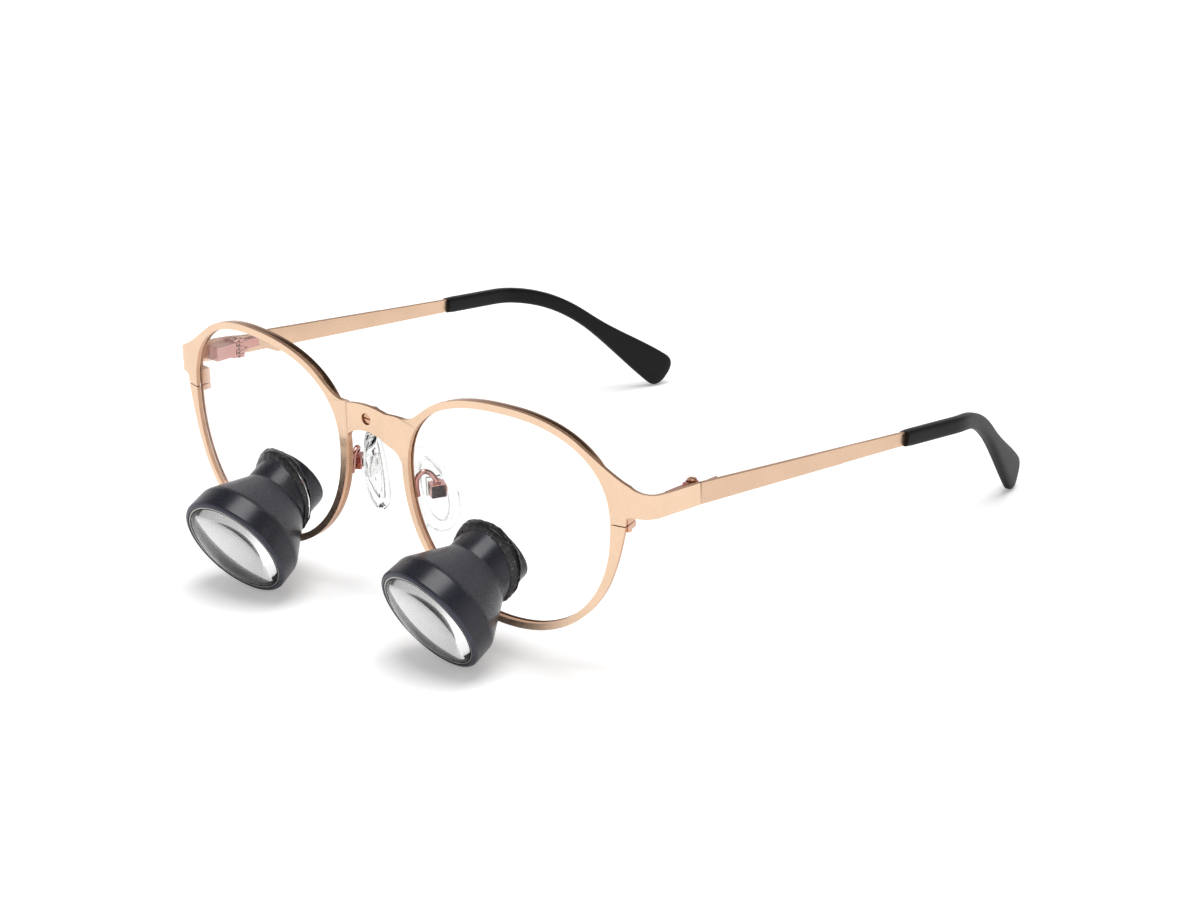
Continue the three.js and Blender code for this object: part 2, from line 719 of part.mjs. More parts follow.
// Profile points of a lens face: its middle lies a crown's height before the edge of its clear part
function lensFace(clear, edge, crown, steps) {
  return span(steps).map((t) => [clear * t, edge - crown * (1 - t * t)]);
}

// The objective's dome swells out of the barrel's rim, and the ring holds it down by its shoulder
function objectiveLens() {
  const clear = OBJECTIVE_R - LOCK_RING_W;
  const shoulder = lockRingFar + FIT;
  const far = shoulder + OBJECTIVE_EDGE;
  const dome = lensFace(clear, lockRingNear, OBJECTIVE_CROWN, 4);
  const flange = [[clear, shoulder], [OBJECTIVE_R, shoulder], [OBJECTIVE_R, far], [0, far]];
  return lathe([...dome, ...flange], LATHE_SIDES);
}

function objectiveLockRing() {
  const inner = OBJECTIVE_R - LOCK_RING_W;
  return lathe([
    [inner + LOCK_RING_BEVEL, lockRingNear],
    [OBJECTIVE_R, lockRingNear],
    [OBJECTIVE_R, lockRingFar],
    [inner + FIT, lockRingFar],
    [inner + LOCK_RING_BEVEL, lockRingNear],
  ], LATHE_SIDES);
}

function eyepieceLens() {
  const far = eyepieceNear + EYEPIECE_T;
  const hollow = lensFace(EYEPIECE_R - EYE_RING_W, far, EYEPIECE_HOLLOW, 2);
  const front = [[EYEPIECE_R, far], [EYEPIECE_R, eyepieceNear], [0, eyepieceNear]];
  return lathe([...hollow, ...front], EYEPIECE_SIDES);
}

function eyepieceRing() {
  const inner = EYEPIECE_R - EYE_RING_W;
  const near = eyepieceNear + EYEPIECE_T + FIT;
  return lathe([
    [inner, near],
    [EYEPIECE_R, near],
    [EYEPIECE_R, BARREL_LENGTH + FIT],
    [NECK_R, BARREL_LENGTH + FIT],
    [NECK_R - EYE_RING_BEVEL, BARREL_LENGTH + EYE_RING_T],
    [inner + EYE_RING_BEVEL, BARREL_LENGTH + EYE_RING_T],
    [inner, near],
  ], EYEPIECE_SIDES);
}

// Bond: adhesive round the neck, through the hole, with an uneven fillet on both lens faces
function bondBead(telescope) {
  const along = (angle, r, depth) => {
    let s = BARREL_LENGTH * 0.7;
    for (let i = 0; i < 8; i++) {
      const p = vec(r * Math.cos(angle), s, r * Math.sin(angle)).applyMatrix4(telescope.matrix);
      s += (depth - depthAt(p) - lensCrown(p.x, p.z)) / Math.cos(rad(TELE_DECLINE));
    }
    return s;
  };
  const inner = NECK_R + FIT;
  const hole = NECK_R + BOND_GAP - FIT;
  const rings = [];
  for (let i = 0; i < LATHE_SIDES; i++) {
    const angle = (2 * Math.PI * i) / LATHE_SIDES;
    const wave = 1 + 0.16 * Math.sin(3 * angle + 0.7) + 0.1 * Math.sin(7 * angle);
    const w = hole + BEAD_W * wave;
    const h = BEAD_H * wave;
    const middle = (inner + w) / 2;
    const near = (r) => along(angle, r, lensNear) - 2 * FIT;
    const far = (r) => along(angle, r, lensFar) + 2 * FIT;
    const tip = near(inner) - h;
    const onCone = 0.6 * Math.max(neckStart - tip, 0);
    const section = [
      [inner, Math.max(tip + FIT, neckStart + FIT)],
      [inner + onCone, tip],
      [middle + 0.4 * onCone, near(middle) - 0.6 * h],
      [w, near(w)],
      [hole, near(hole)],
      [hole, far(hole)],
      [w, far(w)],
      [middle, far(middle) + 0.6 * h],
      [inner, Math.min(far(inner) + h, BARREL_LENGTH - FIT)],
    ];
    rings.push(section.map(([r, s]) => vec(r * Math.cos(angle), s, r * Math.sin(angle))));
  }
  return skin(rings, true);
}

// Nose pad pieces, drawn about the screw's middle: X away from the nose, Y along the screw, Z up
const padEyeR = PAD_SCREW_R + PIN_PLAY + PAD_EYE_WALL;
const stemW = CLEVIS_W - 2 * CLEVIS_WALL - 2 * RUN;
const padMiddle = vec(-PAD_STAND, PAD_BACK, -PAD_DROP);

function padArm(pad) {
  const half = CLEVIS_W / 2;
  const clear = padEyeR + RUN;
  const far = clear + CLEVIS_WALL;
  const cheek = (y0, y1) => box(-clear, far, y0, y1, -clear, far);
  const walls = [
    cheek(-half, -half + CLEVIS_WALL),
    cheek(half - CLEVIS_WALL, half),
    box(clear, far, -half, half, -clear, far),
    box(-clear, far, -half, half, clear, far),
    barZ(ARM_WIRE_R + COLLAR_WALL, clear, far + COLLAR_LENGTH, PIN_SIDES).translate(COLLAR_OUT, 0, 0),
  ];
  const toPad = pad.matrix.clone().invert();
  const root = outline(ARM_ROOT, EYEWIRE_OUT / 2);
  const rest = eyewireFar + ARM_WIRE_R + FIT;
  const loop = (across, up, back) => {
    const x = root.x + ARM_LOOP_H * across;
    const z = root.y + ARM_LOOP_H * up;
    return onFront(x, z, rest + ARM_LOOP_DEPTH * back).applyMatrix4(toPad);
  };
  const route = [
    loop(0, 0, 0),
    loop(-0.06, 0.44, 0),
    loop(-0.06, 0.8, 0.13),
    loop(0.02, 1, 0.57),
    loop(0.18, 0.88, 1),
    vec(COLLAR_OUT, 0, far + COLLAR_LENGTH / 2),
  ];
  const circle = new THREE.Shape().absarc(0, 0, ARM_WIRE_R, 0, 2 * Math.PI);
  const extrudePath = new THREE.CatmullRomCurve3(route, false, 'centripetal');
  const settings = { steps: 12, extrudePath, curveSegments: 4, bevelEnabled: false };
  return cut(join(...walls, new THREE.ExtrudeGeometry(circle, settings)), padScrewHole());
}

const padScrewHole = () => barY(PAD_SCREW_R + PIN_PLAY, -CLEVIS_W, CLEVIS_W, PIN_SIDES);

function padScrew() {
  const wall = CLEVIS_W / 2;
  const head = wall + FIT;
  return lathe([
    [0, -wall],
    [PAD_SCREW_R, -wall],
    [PAD_SCREW_R, head],
    [PAD_SCREW_HEAD_R, head],
    [PAD_SCREW_HEAD_R, head + PAD_SCREW_HEAD_H],
    [0, head + PAD_SCREW_HEAD_H],
  ], PIN_SIDES);
}

// Stiff core: an eye on the screw and a foot plate let into the pad's back
const padBackX = padMiddle.x + PAD_T / 2;

function padCore() {
  const footX = padBackX - CORE_FOOT_T;
  const eye = barY(padEyeR, -stemW / 2, stemW / 2, PIN_SIDES);
  const stem = box(footX, 0, -stemW / 2, stemW / 2, -padEyeR * 0.8, padEyeR * 0.8);
  const foot = box(footX, padBackX + FIT, -stemW, stemW, -CORE_FOOT_H / 2, CORE_FOOT_H / 2);
  return cut(join(eye, stem, foot), padScrewHole());
}

function nosePad() {
  const stations = [0, 0.12, 0.35, 0.65, 0.88, 1];
  const swell = (t) => Math.sqrt(Math.max(1 - (2 * t - 1) ** 2, 0.16));
  const sides = 20;
  const rings = stations.map((t) => {
    const x = PAD_T * (t - 0.5);
    const grow = swell(t);
    const inset = (1 - grow) * PAD_T / 2;
    return Array.from({ length: sides }, (_, j) => {
      const angle = (2 * Math.PI * j) / sides;
      const z = (PAD_LENGTH / 2 - inset) * Math.sin(angle);
      const narrow = 1 - PAD_TAPER * (z / PAD_LENGTH + 0.5);
      const y = (PAD_WIDTH / 2 - inset) * Math.cos(angle) * narrow;
      const bow = PAD_BOW * (2 * z / PAD_LENGTH) ** 2;
      return vec(x - bow, y, z).applyAxisAngle(vec(1, 0, 0), PAD_TILT).add(padMiddle);
    });
  });
  const floor = padBackX - CORE_FOOT_T - 2 * FIT;
  const wide = stemW + 2 * FIT;
  const high = CORE_FOOT_H / 2 + 2 * FIT;
  return cut(skin(rings), box(floor, padBackX + PAD_T, -wide, wide, -high, high));
}

// Hinge pieces, about the screw: X outwards, Y backwards, Z up
const hingeX = templeOuterX - Math.max(PLATE_T, BLADE_T) - KNUCKLE_R - FIT * 2;
const plateInX = templeOuterX - PLATE_T - FIT - hingeX;
const bladeInX = templeOuterX - BLADE_T - FIT - hingeX;
const knuckleStep = KNUCKLE_H + FIT;
const hingeHalf = (KNUCKLE_COUNT * knuckleStep - FIT) / 2;
const leafGap = KNUCKLE_R + 4 * FIT;

// One leaf: knuckles from the first on every second place, and a plate from leafIn to the wall it sits on
function hingeLeaf(first, direction, leafIn, wallX, height) {
  const pieces = [];
  for (let i = first; i < KNUCKLE_COUNT; i += 2) {
    const low = -hingeHalf + i * knuckleStep;
    const high = low + KNUCKLE_H;
    const reach = direction * (leafGap + LEAF_LAP);
    pieces.push(barZ(KNUCKLE_R, low, high, SMALL_SIDES));
    pieces.push(box(-KNUCKLE_R * 0.6, wallX, Math.min(0, reach), Math.max(0, reach), low, high));
  }
  const from = direction * leafGap;
  const to = direction * (leafGap + LEAF_LENGTH);
  pieces.push(box(leafIn, wallX, Math.min(from, to), Math.max(from, to), -height / 2, height / 2));
  const end = hingeHalf + KNUCKLE_H;
  return cut(join(...pieces), barZ(HINGE_PIN_R + PIN_PLAY, -end, end, PIN_SIDES));
}

function hingeScrew() {
  const head = hingeHalf + FIT;
  const profile = [
    [0, -hingeHalf],
    [HINGE_PIN_R, -hingeHalf],
    [HINGE_PIN_R, head],
    [HINGE_HEAD_R, head],
    [HINGE_HEAD_R, head + HINGE_HEAD_H],
    [0, head + HINGE_HEAD_H],
  ];
  const screw = lathe(profile, PIN_SIDES).rotateX(Math.PI / 2);
  const floor = head + HINGE_HEAD_H / 2;
  const half = SCREW_SLOT_W / 2;
  return cut(screw, box(-HINGE_HEAD_R, HINGE_HEAD_R, -half, half, floor, floor + HINGE_HEAD_H));
}

// Temple blade: a tapering flat bar with a shallow step, its end hidden in the tip
const bladeEnd = SLEEVE_AT + SLEEVE_POCKET;
const templeMiddleX = templeOuterX - BLADE_T / 2 - hingeX;
const drop = (y) => -y * Math.tan(rad(TEMPLE_SLOPE));

function rectangle(y, height, inner, outer) {
  const z = drop(y);
  return [
    vec(outer, y, z - height / 2),
    vec(outer, y, z + height / 2),
    vec(inner, y, z + height / 2),
    vec(inner, y, z - height / 2),
  ];
}

function temple() {
  const outer = templeOuterX - hingeX;
  const inner = outer - BLADE_T;
  const rows = [
    [RUN, BLADE_H, 0],
    [STEP_AT, BLADE_H_STEP, 0],
    [STEP_AT + STEP_RUN, BLADE_H_STEP, BLADE_STEP],
    [SLEEVE_AT, BLADE_H_SLEEVE, BLADE_STEP],
    [bladeEnd, BLADE_H_END, BLADE_STEP],
  ];
  return skin(rows.map(([y, height, step]) => rectangle(y, height, inner, outer - step)));
}

// Temple tip: a sleeve that bends down and inwards into a paddle
const tipBendEnd = TIP_STRAIGHT_LENGTH + TIP_BEND_LENGTH;
const tipLength = tipBendEnd + TIP_DROP_LENGTH;

function tipHeading(run) {
  const sweepFrom = TIP_STRAIGHT_LENGTH - TIP_SWEEP_LEAD_LENGTH;
  const bend = THREE.MathUtils.smoothstep(run, TIP_STRAIGHT_LENGTH - TIP_DROP_LEAD_LENGTH, tipBendEnd);
  const turn = THREE.MathUtils.smoothstep(run, sweepFrom, sweepFrom + TIP_SWEEP_RUN_LENGTH);
  return { fall: rad(lerp(TEMPLE_SLOPE, TIP_DROP_ANGLE, bend)), sweep: rad(TIP_SWEEP_ANGLE) * turn };
}

function tipStations() {
  const paddleEnd = tipLength - PADDLE_ROUND;
  const marks = [
    ...[0, 0.7, 0.85, 1].map((t) => t * TIP_STRAIGHT_LENGTH),
    ...span(8).slice(1).map((t) => TIP_STRAIGHT_LENGTH + t * TIP_BEND_LENGTH),
    ...span(4).slice(1).map((t) => lerp(tipBendEnd, paddleEnd, t)),
    ...[0.35, 0.65, 0.85, 0.96].map((t) => paddleEnd + PADDLE_ROUND * t),
  ];
  const steps = 12;
  const place = vec(templeMiddleX, SLEEVE_AT, drop(SLEEVE_AT));
  let at = 0;
  return marks.map((mark) => {
    const stride = (mark - at) / steps;
    for (let i = 0; i < steps; i++) {
      const { fall, sweep } = tipHeading(at + stride * (i + 0.5));
      const flat = Math.cos(fall) * stride;
      place.add(vec(-Math.sin(sweep) * flat, Math.cos(sweep) * flat, -Math.sin(fall) * stride));
    }
    at = mark;
    const { fall, sweep } = tipHeading(mark);
    const up = vec(-Math.sin(sweep) * Math.sin(fall), Math.cos(sweep) * Math.sin(fall), Math.cos(fall));
    const widen = THREE.MathUtils.smoothstep(mark, TIP_STRAIGHT_LENGTH + TIP_BEND_LENGTH * 0.8, tipLength);
    const nearEnd = Math.max((mark - paddleEnd) / PADDLE_ROUND, 0);
    const round = (1 - nearEnd ** 2.6) ** (1 / 2.6);
    return {
      place: place.clone().addScaledVector(up, PADDLE_RISE * widen),
      side: vec(Math.cos(sweep), Math.sin(sweep), 0),
      up,
      height: lerp(SLEEVE_H, PADDLE_H, widen) * round,
      thick: SLEEVE_T * (0.35 + 0.65 * round),
    };
  });
}

function templeTip() {
  const sides = 14;
  const squared = (value) => Math.sign(value) * Math.abs(value) ** 0.6;
  const rings = tipStations().map(({ place, side, up, height, thick }) => (
    Array.from({ length: sides }, (_, j) => {
      const angle = (2 * Math.PI * (j + 0.5)) / sides;
      const across = squared(Math.cos(angle)) * thick / 2;
      const rise = squared(Math.sin(angle)) * height / 2;
      return place.clone().addScaledVector(side, across).addScaledVector(up, rise);
    })
  ));
  const outer = templeOuterX - hingeX - BLADE_STEP + SLEEVE_PLAY;
  const inner = templeOuterX - hingeX - BLADE_T - SLEEVE_PLAY;
  const mouth = BLADE_H_SLEEVE + 2 * SLEEVE_PLAY;
  const pocket = skin([
    rectangle(SLEEVE_AT - SLEEVE_T, mouth, inner, outer),
    rectangle(SLEEVE_AT, mouth, inner, outer),
    rectangle(bladeEnd + SLEEVE_PLAY, BLADE_H_END + 2 * SLEEVE_PLAY, inner, outer),
  ]);
  return cut(skin(rings), pocket);
}

// Assembly

const loupes = new THREE.Group();
const front = new THREE.Group();
front.rotation.x = rad(FRONT_TILT);
front.updateMatrix();
loupes.add(front);

function addPiece(group, name, geometry, look) {
  const bare = geometry.clone();
  bare.deleteAttribute('normal');
  bare.deleteAttribute('uv');
  const merged = mergeVertices(bare, 1e-4);
  merged.computeVertexNormals();
  const mesh = new THREE.Mesh(merged, new THREE.MeshStandardMaterial(look));
  mesh.name = name;
  group.add(mesh);
}

function handedGroup(parent, side, place, turn) {
  const group = new THREE.Group();
  group.position.set(side * place.x, place.y, place.z);
  group.rotation.set(turn.x, side * turn.y, side * turn.z, turn.order);
  group.updateMatrix();
  parent.add(group);
  return group;
}

addPiece(front, 'front_plate', frontPlate(), ROSE_GOLD);
addPiece(front, 'bridge_screw', bridgeScrew(), ROSE_DARK);
addPiece(front, 'bridge_boss', bridgeBoss(), ROSE_DARK);

const teleTurn = new THREE.Euler(rad(TELE_DECLINE), 0, -rad(TELE_TOE), 'ZXY');
const teleAxis = vec(0, 1, 0).applyEuler(teleTurn);
const teleDown = OPEN_DOWN - NECK_R - TELE_RIM_GAP;
const telePlace = onFront(lensMiddleX - TELE_IN, OPEN_MIDDLE_Z - teleDown);
telePlace.addScaledVector(teleAxis, TELE_TAIL - BARREL_LENGTH);
const padTurn = new THREE.Euler(0, rad(PAD_LEAN), -rad(PAD_SPLAY), 'ZYX');
const padPlace = vec(PAD_ARM_X, PAD_ARM_Y, PAD_ARM_Z);
const hingePlace = vec(hingeX, hingeY, hingeMiddleZ).applyMatrix4(front.matrix);
const seamTop = OPEN_MIDDLE_Z + SEAM_GAP / 2;
const seamLow = OPEN_MIDDLE_Z - SEAM_GAP / 2;
const noTurn = new THREE.Euler();
const leftTele = handedGroup(new THREE.Group(), 1, telePlace, teleTurn);
const leftPad = handedGroup(new THREE.Group(), 1, padPlace, padTurn);
const frontLeafH = 2 * (hingeHalf - LEAF_INSET);

for (const [hand, side] of [['left', 1], ['right', -1]]) {
  const put = (group, name, geometry, look) => {
    addPiece(group, `${hand}_${name}`, handed(geometry, side), look);
  };

  put(front, 'eyewire', eyewire(), ROSE_GOLD);
  put(front, 'carrier_lens', carrierLens(leftTele), CLEAR);
  put(front, 'closing_block_upper', closingBlock(seamTop, seamTop + BLOCK_UP), ROSE_DARK);
  put(front, 'closing_block_lower', closingBlock(seamLow - BLOCK_DOWN, seamLow), ROSE_DARK);
  put(front, 'closing_screw', closingScrew(), ROSE_DARK);

  const telescope = handedGroup(front, side, telePlace, teleTurn);
  put(telescope, 'barrel', barrel(), BARREL_GREY);
  put(telescope, 'objective_lock_ring', objectiveLockRing(), RING_BARE);
  put(telescope, 'objective_lens', objectiveLens(), CLEAR);
  put(telescope, 'eyepiece_lens', eyepieceLens(), CLEAR);
  put(telescope, 'eyepiece_ring', eyepieceRing(), RING_BLACK);
  put(telescope, 'bond_bead', bondBead(leftTele), RESIN);

  const pad = handedGroup(front, side, padPlace, padTurn);
  put(pad, 'pad_arm', padArm(leftPad), ROSE_DARK);
  put(pad, 'pad_screw', padScrew(), ROSE_DARK);
  put(pad, 'pad_core', padCore(), CLEAR);
  put(pad, 'nose_pad', nosePad(), SILICONE);

  const hinge = handedGroup(loupes, side, hingePlace, noTurn);
  put(hinge, 'hinge_front_leaf', hingeLeaf(0, -1, -KNUCKLE_R * 0.8, plateInX, frontLeafH), ROSE_DARK);
  const templeLeaf = hingeLeaf(1, 1, bladeInX - TEMPLE_LEAF_T, bladeInX, TEMPLE_LEAF_H);
  put(hinge, 'hinge_temple_leaf', templeLeaf, ROSE_DARK);
  put(hinge, 'hinge_screw', hingeScrew(), ROSE_DARK);
  put(hinge, 'temple', temple(), ROSE_GOLD);
  put(hinge, 'temple_tip', templeTip(), TIP_BLACK);
}

// Stand the part on the floor with the middle of its footprint at the origin
loupes.updateMatrixWorld(true);
const reach = new THREE.Box3().setFromObject(loupes, true);
loupes.position.set(0, -(reach.min.y + reach.max.y) / 2, -reach.min.z);

export default loupes;
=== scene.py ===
"""Surgical loupes: finer pieces, materials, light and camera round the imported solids."""
import json
import math

import bmesh
import bpy
import numpy as np
from mathutils import Matrix, Vector


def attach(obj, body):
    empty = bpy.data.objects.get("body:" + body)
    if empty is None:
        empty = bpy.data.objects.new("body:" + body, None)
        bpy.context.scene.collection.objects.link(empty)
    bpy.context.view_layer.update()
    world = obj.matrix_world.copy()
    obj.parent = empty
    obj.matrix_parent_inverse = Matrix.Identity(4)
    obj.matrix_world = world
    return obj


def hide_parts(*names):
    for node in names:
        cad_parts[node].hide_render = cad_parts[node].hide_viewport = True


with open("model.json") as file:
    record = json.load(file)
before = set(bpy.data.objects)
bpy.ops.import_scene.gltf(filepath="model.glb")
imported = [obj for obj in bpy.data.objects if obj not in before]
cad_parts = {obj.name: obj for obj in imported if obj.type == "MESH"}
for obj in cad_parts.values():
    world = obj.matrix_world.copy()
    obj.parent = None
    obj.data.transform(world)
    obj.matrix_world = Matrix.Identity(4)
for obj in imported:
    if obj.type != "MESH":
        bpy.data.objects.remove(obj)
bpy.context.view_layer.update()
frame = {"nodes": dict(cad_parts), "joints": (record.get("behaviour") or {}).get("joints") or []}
scene = bpy.context.scene
rad = math.radians
MM, WELD = 0.001, 2e-7

# Sizes shared with the solids, in millimetres and degrees
FRONT_TILT, FRONT_RADIUS, FRONT_APEX, PLATE_T = 3.2, 211.0, 13.2, 0.9
OPEN_NASAL, OPEN_TEMPLE, OPEN_UP, OPEN_DOWN, OPEN_Z = 26.5, 24.4, 18.8, 26.4, 7.2
RIM_TOP, RIM_LOW = 1.54, 1.45
SEAM_GAP, SEAM_SWELL, SEAM_FADE, SEAM_LEAN = 0.24, 1.9, 14, 0.2
NASAL_SWELL, NASAL_FADE, NASAL_ANGLE = 0.4, 12, 176
BRIDGE_GAP, BRIDGE_RISE, BRIDGE_FOLD, FOLD_INSET, ROOT_INSET = 20.1, 1.7, 3.4, 1.7, 2.45
BRIDGE_TOP_Z, BRIDGE_TOP_SAG, BRIDGE_LOW_Z, BRIDGE_ARCH, ARCH_MARGIN = 19.8, 1.2, 14, 5.6, 0.3
BRIDGE_SCREW_Z = 16.8
END_OUT, END_LOW_Z, END_TOP_Z, END_FLARE, END_FADE = 4.4, 9.5, 16.0, 1.8, 3
END_BEND_R, END_RUN = 5.0, 12.3
EYEWIRE_NEAR, EYEWIRE_FAR, EYEWIRE_OUT, EYEWIRE_IN = 0.95, 2.5, 1.35, 0.05
GROOVE_OUT, GROOVE_FAR = 0.6, 2.15
LENS_NEAR, LENS_FAR, LENS_LAP, LENS_CROWN, CROWN_INSET = 0.95, 2.1, 0.5, 1.6, 0.5
NECK_R, NECK_START, BARREL_LENGTH = 7.7, 14.0, 21.6
TELE_DECLINE, TELE_TOE, TELE_REACH, TELE_IN, TELE_DOWN = 24.8, 4.2, 16.8, 6.4, 15.6
PAD_AT, PAD_SPLAY, PAD_LEAN = (11.9, 6.8, 1.4), -29, 1
HINGE_UP = 2.6
KNUCKLES, KNUCKLE_R, KNUCKLE_BORE, KNUCKLE_CLEAR = 5, 1.35, 0.68, 0.1
KNUCKLE_PITCH, KNUCKLE_H, KNUCKLE_GAP = 0.89, 0.84, 0.05
LEAF_WALL_GAP, HEAD_GAP = 0.05, 0.05
BLADE_H, BLADE_T, TEMPLE_FALL = 4.7, 0.9, 5.5

# How square each quarter of a lens opening is, by (towards the nose, below the middle)
UP_OUTER, LOW_OUTER = 2.27, 2.25
SQUARENESS = {(False, False): UP_OUTER, (True, False): 2.35,
              (False, True): LOW_OUTER, (True, True): 2.1}

# Where the plate's stretches end, going round an opening from the seam: end piece, its upper
# edge, top of the rim, notch and bridge
END_FROM, END_TO, EDGE_TO, TOP_TO, NOTCH_TO, BRIDGE_TO = map(
    rad, (3.5, 20.5, 50.5, 132, 150.5, NASAL_ANGLE))
END_ROWS, BRIDGE_ROWS = 8, 10
EDGE_HANDLES = (-3.2, 1.2), (3.5, -2.3)
NOTCH_HANDLES = (-3.5, -2.4), (3.4, -0.9)

lens_x = BRIDGE_GAP / 2 + OPEN_NASAL
open_edge = lens_x + OPEN_TEMPLE
end_x = open_edge + END_OUT
fold_out = BRIDGE_GAP / 2 - FOLD_INSET
fold_in = fold_out - BRIDGE_FOLD
root_x = BRIDGE_GAP / 2 - ROOT_INSET
hinge_z = OPEN_Z + HINGE_UP
half_hinge = (KNUCKLES * KNUCKLE_PITCH - KNUCKLE_GAP) / 2


def lerp(a, b, t):
    return a + (b - a) * t


def smooth(x, a, b):
    t = min(max((x - a) / (b - a), 0.0), 1.0)
    return t * t * (3 - 2 * t)


def spread(a, b, steps):
    """Places from a towards b, without b itself."""
    return [lerp(a, b, i / steps) for i in range(steps)]


# The front's curve, as in the solids

def front_y(x):
    arc = (max(x, fold_in) - FRONT_APEX) ** 2 / (2 * FRONT_RADIUS)
    return arc - BRIDGE_RISE * smooth(-x, -fold_out, -fold_in)


def slope(x, step=0.01):
    return (front_y(x + step) - front_y(x - step)) / (2 * step)


end_angle = math.atan(slope(end_x))
bend_length = END_BEND_R * (math.pi / 2 - end_angle)
end_length = end_x + bend_length + END_RUN
bend_x = end_x - END_BEND_R * math.sin(end_angle)
bend_y = front_y(end_x) + END_BEND_R * math.cos(end_angle)
temple_x = bend_x + END_BEND_R


def on_front(s, z, depth=0.0):
    """A point of the bent sheet: s along it from the middle, z up, depth behind its face."""
    run, side = abs(s), -1 if s < 0 else 1
    if run <= end_x:
        angle, x, y = math.atan(slope(run)), run, front_y(run)
    else:
        angle = min(end_angle + (run - end_x) / END_BEND_R, math.pi / 2)
        x = bend_x + END_BEND_R * math.sin(angle)
        y = bend_y - END_BEND_R * math.cos(angle) + max(run - end_x - bend_length, 0)
    return (side * (x - depth * math.sin(angle)), y + depth * math.cos(angle), z)


def crown(x, z):
    """How far the carrier lens bulges forward of the front's curve."""
    dx, dz = x - lens_x, z - OPEN_Z
    wide = (OPEN_NASAL if dx < 0 else OPEN_TEMPLE) - CROWN_INSET
    high = (OPEN_DOWN if dz < 0 else OPEN_UP) - CROWN_INSET
    return LENS_CROWN * (1 - min((dx / wide) ** 2 + (dz / high) ** 2, 1))


def opening(angle):
    c, s = math.cos(angle), math.sin(angle)
    power = 2 / SQUARENESS[(c < 0, s < 0)]
    dx = (-OPEN_NASAL if c < 0 else OPEN_TEMPLE) * abs(c) ** power
    dz = (-OPEN_DOWN if s < 0 else OPEN_UP) * abs(s) ** power
    return np.array((lens_x + dx, OPEN_Z + dz))


def outline(angle, offset, step=0.02):
    """The opening's edge at an angle, moved outwards by offset."""
    along = opening(angle + step) - opening(angle - step)
    along /= np.linalg.norm(along)
    return opening(angle) + offset * np.array((along[1], -along[0]))


def swept(start, end, handles, t):
    """A point on the Bezier curve from start to end, each handle a step from its own end."""
    p1, p2 = start + handles[0], end + handles[1]
    return ((1 - t) ** 3 * start + 3 * (1 - t) ** 2 * t * p1
            + 3 * (1 - t) * t * t * p2 + t ** 3 * end)


seam_up = math.asin((SEAM_GAP / 2 / OPEN_UP) ** (UP_OUTER / 2))
seam_low = 2 * math.pi - math.asin((SEAM_GAP / 2 / OPEN_DOWN) ** (LOW_OUTER / 2))
RIM_STRETCHES = [(seam_up, 4), (END_FROM, END_ROWS), (END_TO, 22), (EDGE_TO, 44), (TOP_TO, 16),
                 (NOTCH_TO, BRIDGE_ROWS), (BRIDGE_TO, 96), (seam_low, 0)]
rim_angles = [angle for (a, steps), (b, _) in zip(RIM_STRETCHES, RIM_STRETCHES[1:])
              for angle in spread(a, b, steps)] + [seam_low]


def bridge_top(x):
    return BRIDGE_TOP_Z - BRIDGE_TOP_SAG * (x / root_x) ** 2


def bridge_low(x):
    return BRIDGE_LOW_Z - BRIDGE_ARCH * (1 - math.sqrt(1 - (x / (root_x + ARCH_MARGIN)) ** 2))


def end_share(s):
    return (s - end_x) / (end_length - end_x)


def end_top(s):
    level = lerp(END_TOP_Z - END_FLARE, hinge_z + BLADE_H / 2, end_share(s))
    return level + END_FLARE * math.exp((end_x - s) / END_FADE)


def end_low(s):
    return lerp(END_LOW_Z, hinge_z - BLADE_H / 2, end_share(s))


edge_start, edge_end = np.array((end_x, end_top(end_x))), outline(EDGE_TO, RIM_TOP)
notch_start, notch_end = outline(TOP_TO, RIM_TOP), np.array((root_x, bridge_top(root_x)))


def plate_edge(angle):
    """The rim's outer edge, or the line where it meets the end piece or the bridge."""
    def share(a, b):
        return (angle - a) / (b - a)
    if angle < END_FROM:
        t = share(seam_up, END_FROM)
        return np.array((open_edge + RIM_LOW + SEAM_SWELL + SEAM_LEAN * t,
                         lerp(outline(seam_up, 0)[1], END_LOW_Z, t)))
    if angle < END_TO:
        return np.array((end_x, lerp(end_low(end_x), end_top(end_x), share(END_FROM, END_TO))))
    if angle < EDGE_TO:
        return swept(edge_start, edge_end, EDGE_HANDLES, share(END_TO, EDGE_TO))
    if angle < TOP_TO:
        return outline(angle, RIM_TOP)
    if angle < NOTCH_TO:
        return swept(notch_start, notch_end, NOTCH_HANDLES, share(TOP_TO, NOTCH_TO))
    if angle < BRIDGE_TO + 1e-9:
        down = share(NOTCH_TO, BRIDGE_TO)
        return np.array((root_x, lerp(bridge_top(root_x), bridge_low(root_x), down)))
    degrees = math.degrees(angle)
    return outline(angle, RIM_LOW + NASAL_SWELL * math.exp((NASAL_ANGLE - degrees) / NASAL_FADE)
                   + SEAM_SWELL * math.exp((degrees - 360) / SEAM_FADE))


# Frames of the front, the telescopes, the pads and the hinges, all to the row frame in
# millimetres. The LOCAL ones go to the front's frame.

def turn(axis, degrees):
    return np.array(Matrix.Rotation(rad(degrees), 4, axis))


def shift(x, y, z):
    return np.array(Matrix.Translation((x, y, z)))


def placed(points, matrix):
    points = np.asarray(points, float).reshape(-1, 3)
    return points @ matrix[:3, :3].T + matrix[:3, 3]


